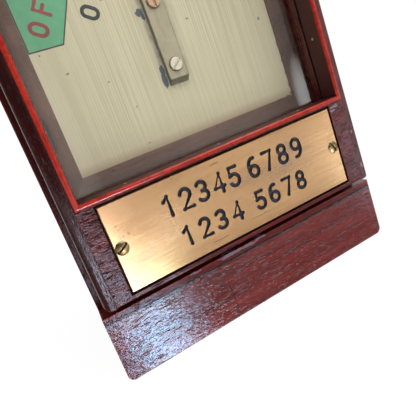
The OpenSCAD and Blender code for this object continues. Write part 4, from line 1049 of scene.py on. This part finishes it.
def post_finish():
    """Dull grey-beige metal, greenish on the sloping foot, with painted shade on the foot, along the sides and round
    each screw head.
    """
    material, tree, shader, where = new_material("Post metal")
    axes = axes_of(tree, where)
    cloud = noise(tree, stretched(tree, where, (0.16, 0.16, 0.10)), 4, 0.6, 0.3)
    shade = blend_colour(tree, spread(tree, cloud, 0.35, 0.65), (0.40, 0.335, 0.225), (0.50, 0.425, 0.285))
    # The sloping foot: greenish, and darkened as painted shade.
    low = spread(tree, axes["Z"], POST_LOW.z + 2.6 * MM, POST_LOW.z + 2.2 * MM)
    shade = tinted(tree, low, 0.8, shade, (0.17, 0.18, 0.11))
    # Darker along the sides: painted shade.
    side = spread(tree, maths(tree, "ABSOLUTE", axes["X"]), POST_HIGH.x - 0.35 * MM, POST_HIGH.x - 0.1 * MM)
    shade = tinted(tree, side, 0.8, shade, (0.09, 0.08, 0.05))
    low_screw, high_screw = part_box("post_screws")[0].z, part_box("post_screws")[1].z
    head = (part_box("post_screws")[1].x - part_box("post_screws")[0].x) / 2
    # A dark ring round each screw head: painted shade.
    for z in (low_screw + head, high_screw - head):
        far = distance(tree, axes, 0.0, z)
        shade = blend_colour(tree, spread(tree, far, head + 0.1 * MM, head + 0.6 * MM, 0.75, 0.0), shade,
                             (0.07, 0.065, 0.05))
    tear = noise(tree, stretched(tree, where, (0.5, 0.5, 0.06)), 3, 0.6, 0.2)
    shade = blend_colour(tree, spread(tree, tear, 0.56, 0.72, 0.0, 0.45), shade, (0.20, 0.17, 0.12))
    edge = place_group(tree, edges_group(), Vector=where)
    shade = tinted(tree, edge["Worn"], 0.5, shade, (0.62, 0.55, 0.38))
    # Darker in the crevices: painted shade.
    shade = tinted(tree, edge["Crevice shade"], 0.8, shade, (0.05, 0.045, 0.03))
    tree.links.new(shade, shader.inputs["Base Color"])
    shader.inputs["Metallic"].default_value = 0.35
    tree.links.new(spread(tree, cloud, 0.3, 0.7, 0.34, 0.5), shader.inputs["Roughness"])
    bumped(tree, shader, noise(tree, stretched(tree, where, (1.2, 1.2, 0.3)), 2, 0.5), 0.00001)
    return material


def arm_finish():
    """Red enamel with a white band near the arm's tip."""
    material = paint_finish("Arm enamel", (0.52, 0.020, 0.015), 0.28, 0.06)
    tree, shader, where, shade = opened(material)
    x = axes_of(tree, where)["X"]
    band = maths(tree, "MULTIPLY", spread(tree, x, -0.0401, -0.0399), spread(tree, x, -0.0339, -0.0341))
    shade = blend_colour(tree, band, shade, (0.80, 0.79, 0.74))
    tree.links.new(shade, shader.inputs["Base Color"])
    return material


class REPEATER_OT_movement(bpy.types.Operator):
    """Dress the movement: plates, pillars, magnet, armature and balance"""
    bl_idname = "repeater.movement"
    bl_label = "Movement"

    def execute(self, context):
        brass = brass_finish("Movement brass", context.scene.repeater_brass.brass[:], 0.24, (0, 90, 0), 0.25)
        for node in ("front_plate", "rear_plate", "pillars", "spindle_bushes", "balance_lever", "balance_weight"):
            dress_node(node, brass, 0.0002, 2)
        steel = metal_finish("Bright steel", (0.56, 0.57, 0.60), 0.22)
        for node in ("frame_screws", "board_screws", "stop_pins", "arm_spindle", "base_screws", "lock_cam"):
            dress_node(node, steel, 0.00015, 2)
        iron = metal_finish("Blackened iron", (0.09, 0.09, 0.10), 0.38)
        for node in ("armature", "cores", "pole_shoes", "yoke"):
            dress_node(node, iron, 0.0003, 2)
        dress_node("bobbins", paint_finish("Ebonite", (0.012, 0.012, 0.012), 0.28, 0.1), 0.0002, 2)
        wind_coils()
        return {"FINISHED"}


def wind_coils():
    """Winds one coil as a real helix of covered wire, and copies it to the other bobbin."""
    low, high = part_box("windings")
    radius = (high.y - low.y) / 2
    turns = 48
    wire = (high.z - low.z) / turns
    deselect()
    bpy.ops.mesh.primitive_circle_add(vertices=8, radius=wire * 0.53, fill_type="NGON",
                                      location=(radius - wire * 0.53, 0, 0), rotation=(math.pi / 2, 0, 0))
    coil = bpy.context.object
    settle(coil)
    screw = coil.modifiers.new("Wind", "SCREW")
    screw.iterations = turns - 1
    screw.screw_offset = wire
    screw.steps = screw.render_steps = 40
    screw.use_merge_vertices = False
    bpy.ops.object.modifier_apply(modifier=screw.name)
    outward(coil)
    smooth(coil, 60)
    wire_finish = paint_finish("Covered wire", (0.035, 0.13, 0.055), 0.5, 0.2)
    sleeve = (high.x - radius, (low.y + high.y) / 2, low.z + wire / 2)
    for side, name in ((-1, "coil-left"), (1, "coil-right")):
        piece = bpy.data.objects.new(name, coil.data.copy())
        bpy.context.scene.collection.objects.link(piece)
        piece.data.transform(Matrix.Translation((side * sleeve[0], sleeve[1], sleeve[2])))
        dress(piece, wire_finish, "case", "copper", "windings")
    bpy.data.objects.remove(coil)


class REPEATER_OT_hinges_and_lock(bpy.types.Operator):
    """Dress the hinges, their screws, the lock and the screws of the back"""
    bl_idname = "repeater.hinges_and_lock"
    bl_label = "Hinges and lock"

    def execute(self, context):
        brass = brass_finish("Hinge brass", context.scene.repeater_brass.brass[:], 0.3, (0, 90, 0), 0.6)
        for node in ("hinge_case_leaves", "hinge_door_leaves", "hinge_pins"):
            dress_node(node, brass, 0.00015, 2)
        for node in ("hinge_case_screws", "hinge_door_screws", "back_screws"):
            dress_node(node, brass, 0.0001, 1)
        for node in ("lock_barrel", "lock_plug"):
            dress_node(node, brass, 0.0002, 2)
        return {"FINISHED"}


class REPEATER_OT_terminals(bpy.types.Operator):
    """Dress the terminals on the back"""
    bl_idname = "repeater.terminals"
    bl_label = "Terminals"

    def execute(self, context):
        dress_node("terminal_block", paint_finish("Terminal ebonite", (0.014, 0.013, 0.012), 0.3, 0.1), 0.0006, 3)
        brass = brass_finish("Terminal brass", context.scene.repeater_brass.brass[:], 0.2, (0, 0, 0), 0.4)
        for node in ("terminal_studs", "terminal_washers", "terminal_locknuts",
                     "terminal_nut_left", "terminal_nut_right"):
            dress_node(node, brass, 0.0002, 2)
        return {"FINISHED"}


class REPEATER_OT_stage(bpy.types.Operator):
    """Lay the floor, hang the lamps and set up the camera"""
    bl_idname = "repeater.stage"
    bl_label = "Stage"

    FRAME_PIXELS = 416.0
    CENTRE_PIXEL = (203.972, 187.22)
    TURN = (1.677, -0.608, -0.011)
    SHIFT = (9.919, 47.843, 236.861)
    # What polish and brass mirror: middle and reach as slopes, colour, share of the
    # window's brightness, and softness of the rim
    WINDOWS = (
        ((0.090, -0.580), (0.082, 0.104), (0.40, 0.68, 1.0), 2.15, 0.22),
        ((0.006, -0.330), (0.034, 0.130), (0.80, 0.80, 1.0), 1.70, 0.40),
        ((0.118, -0.395), (0.074, 0.058), (0.80, 1.0, 1.0), 0.36, 0.25),
        ((0.998, -0.360), (0.150, 0.150), (0.74, 0.86, 1.0), 0.42, 0.12),
        ((1.030, 0.050), (0.120, 0.380), (1.0, 0.93, 0.98), 0.26, 0.50),
        ((0.150, -1.020), (0.200, 0.230), (1.0, 0.86, 0.97), 2.20, 0.30),
    )
    # What the flat glass mirrors, in the same way
    GHOSTS = (
        ((0.770, -0.095), (0.028, 0.095), (0.98, 1.0, 0.98), 0.60, 0.80),
        ((0.052, -0.020), (0.040, 0.300), (1.0, 0.90, 0.85), 0.180, 0.90),
    )

    def execute(self, context):
        stage = context.scene.repeater_stage
        lay_floor(stage)
        light_room(context.scene, stage)
        hang_lamp("Key lamp", (0.50, -0.70, 1.05), (0.0, -0.05, 0.12), 0.8, 0.6, stage.key)
        self.set_camera(context.scene, stage)
        return {"FINISHED"}

    def set_camera(self, scene, stage):
        rotation = Matrix.Rotation(Vector(self.TURN).length, 3, Vector(self.TURN).normalized())
        centre = -(rotation.transposed() @ Vector(self.SHIFT)) * MM
        right, down, ahead = rotation[0], rotation[1], rotation[2]
        place = Matrix.Identity(4)
        for row in range(3):
            place[row][0] = right[row]
            place[row][1] = -down[row]
            place[row][2] = -ahead[row]
            place[row][3] = centre[row]
        camera = bpy.data.cameras.new("Camera")
        camera.sensor_fit = "HORIZONTAL"
        camera.sensor_width = 36
        camera.lens = stage.lens_pixels / self.FRAME_PIXELS * 36
        camera.shift_x = (self.FRAME_PIXELS / 2 - self.CENTRE_PIXEL[0]) / self.FRAME_PIXELS
        camera.shift_y = (self.CENTRE_PIXEL[1] - self.FRAME_PIXELS / 2) / self.FRAME_PIXELS
        camera.clip_start = 0.01
        holder = bpy.data.objects.new("Camera", camera)
        scene.collection.objects.link(holder)
        holder.matrix_world = place
        scene.camera = holder


def lay_floor(stage):
    """A pale floor that keeps the shadow and otherwise shows white. Mirror images show the room instead."""
    deselect()
    bpy.ops.mesh.primitive_plane_add(size=6, location=(0, 0, 0))
    floor = bpy.context.object
    floor.name = "Floor"
    material, tree, shader, _ = new_material("Floor")
    shader.inputs["Base Color"].default_value = (*stage.floor, 1)
    shader.inputs["Roughness"].default_value = 0.9
    shader.inputs["Specular IOR Level"].default_value = 0.0
    end = next(n for n in tree.nodes if n.type == "OUTPUT_MATERIAL")
    white = tree.nodes.new("ShaderNodeEmission")
    white.inputs["Color"].default_value = (1, 1, 1, 1)
    white.inputs["Strength"].default_value = 1.1
    path = tree.nodes.new("ShaderNodeLightPath").outputs
    seen = maths(tree, "MAXIMUM", path["Is Camera Ray"], path["Is Transmission Ray"])
    mix = tree.nodes.new("ShaderNodeMixShader")
    tree.links.new(maths(tree, "MULTIPLY", seen, 0.84), mix.inputs[0])
    tree.links.new(shader.outputs[0], mix.inputs[1])
    tree.links.new(white.outputs[0], mix.inputs[2])
    tree.links.new(mix.outputs[0], end.inputs["Surface"])
    floor.data.materials.append(material)
    floor.visible_glossy = False


def window(tree, u, v, middle, reach, soft):
    """A soft-edged oval in the room. u and v are the direction's slopes to the right and upwards."""
    a = maths(tree, "DIVIDE", maths(tree, "SUBTRACT", u, middle[0]), reach[0])
    b = maths(tree, "DIVIDE", maths(tree, "SUBTRACT", v, middle[1]), reach[1])
    far = maths(tree, "ADD", maths(tree, "MULTIPLY", a, a), maths(tree, "MULTIPLY", b, b))
    return spread(tree, far, 1.0 - soft, 1.0 + soft, 1.0, 0.0)


def with_windows(tree, shade, u, v, windows, brightness):
    for middle, reach, colour, share, soft in windows:
        glow = [c * share * brightness for c in colour]
        shade = blend_colour(tree, window(tree, u, v, middle, reach, soft), shade, glow)
    return shade


def light_room(scene, stage):
    """Even light all round. Mirror images show it dark in front above the table, and with its windows."""
    world = bpy.data.worlds.new("Room")
    scene.world = world
    world.use_nodes = True
    tree = world.node_tree
    tree.nodes.clear()
    end = tree.nodes.new("ShaderNodeOutputWorld")
    path = tree.nodes.new("ShaderNodeLightPath").outputs
    where = tree.nodes.new("ShaderNodeTexCoord").outputs["Generated"]
    front = put(tree, "ShaderNodeVectorMath", operation="DOT_PRODUCT")
    tree.links.new(where, front.inputs[0])
    front.inputs[1].default_value = (-0.35, -0.93, 0.10)
    axes = axes_of(tree, where)
    ahead = maths(tree, "MAXIMUM", maths(tree, "MULTIPLY", axes["Y"], -1.0), 0.01)
    u = maths(tree, "DIVIDE", axes["X"], ahead)
    v = maths(tree, "DIVIDE", axes["Z"], ahead)
    unlit = spread(tree, front.outputs["Value"], -0.50, 0.20)
    above = spread(tree, v, -0.135, -0.085)
    beside = blend_colour(tree, unlit, (0.85, 0.85, 0.85), (0.90, 0.88, 0.88))
    table = maths(tree, "MULTIPLY", unlit, spread(tree, v, -0.412, -0.436))
    beside = blend_colour(tree, table, beside, (0.26, 0.22, 0.22))
    polish = blend_colour(tree, maths(tree, "MULTIPLY", unlit, above), beside, (0.10, 0.09, 0.09))
    polish = with_windows(tree, polish, u, v, REPEATER_OT_stage.WINDOWS, stage.window)
    glass = blend_colour(tree, unlit, (0.7, 0.7, 0.7), (0.05, 0.05, 0.05))
    glass = with_windows(tree, glass, u, v, REPEATER_OT_stage.GHOSTS, stage.window)
    shade = blend_colour(tree, path["Is Singular Ray"], polish, glass)
    even = spread(tree, front.outputs["Value"], -0.2, 1.0, 0.80, 1.25)
    even = blend_colour(tree, even, (0, 0, 0), [stage.room] * 3)
    shade = blend_colour(tree, path["Is Glossy Ray"], even, shade)
    shade = blend_colour(tree, maths(tree, "MAXIMUM", path["Is Camera Ray"], path["Is Transmission Ray"]),
                         shade, (1, 1, 1))
    room = tree.nodes.new("ShaderNodeBackground")
    tree.links.new(shade, room.inputs["Color"])
    room.inputs["Strength"].default_value = 1.0
    tree.links.new(room.outputs[0], end.inputs["Surface"])


def hang_lamp(name, at, toward, wide, tall, power, colour=(1, 1, 1)):
    lamp = bpy.data.lights.new(name, "AREA")
    lamp.shape = "RECTANGLE"
    lamp.size = wide
    lamp.size_y = tall
    lamp.energy = power
    lamp.color = colour
    holder = bpy.data.objects.new(name, lamp)
    bpy.context.scene.collection.objects.link(holder)
    holder.location = at
    holder.rotation_euler = (Vector(toward) - Vector(at)).to_track_quat("-Z", "Y").to_euler()
    holder.visible_camera = False
    return holder


class REPEATER_PT_panel(bpy.types.Panel):
    """The repeater's sizes, colours and steps"""
    bl_idname = "REPEATER_PT_panel"
    bl_label = "Signal Arm Repeater"
    bl_space_type = "VIEW_3D"
    bl_region_type = "UI"
    bl_category = "Repeater"

    def draw(self, context):
        layout = self.layout
        for name, settings in SETTINGS.items():
            column = layout.column(align=True)
            for label in settings.__annotations__:
                column.prop(getattr(context.scene, name), label)
        for operator in OPERATORS:
            layout.operator(operator.bl_idname)


OPERATORS = (
    REPEATER_OT_woodwork, REPEATER_OT_glazing, REPEATER_OT_name_plate, REPEATER_OT_dial,
    REPEATER_OT_post_and_arm, REPEATER_OT_movement, REPEATER_OT_hinges_and_lock,
    REPEATER_OT_terminals, REPEATER_OT_stage,
)


def register():
    for settings in SETTINGS.values():
        bpy.utils.register_class(settings)
    for name, settings in SETTINGS.items():
        setattr(bpy.types.Scene, name, bpy.props.PointerProperty(type=settings))
    for operator in OPERATORS:
        bpy.utils.register_class(operator)
    bpy.utils.register_class(REPEATER_PT_panel)


def unregister():
    bpy.utils.unregister_class(REPEATER_PT_panel)
    for operator in reversed(OPERATORS):
        bpy.utils.unregister_class(operator)
    for name, settings in SETTINGS.items():
        delattr(bpy.types.Scene, name)
        bpy.utils.unregister_class(settings)


def main():
    register()
    bpy.context.scene.view_settings.view_transform = "Standard"
    bpy.ops.repeater.woodwork()
    bpy.ops.repeater.glazing()
    bpy.ops.repeater.name_plate()
    bpy.ops.repeater.dial()
    bpy.ops.repeater.post_and_arm()
    bpy.ops.repeater.movement()
    bpy.ops.repeater.hinges_and_lock()
    bpy.ops.repeater.terminals()
    bpy.ops.repeater.stage()


if __name__ == "__main__":
    main()
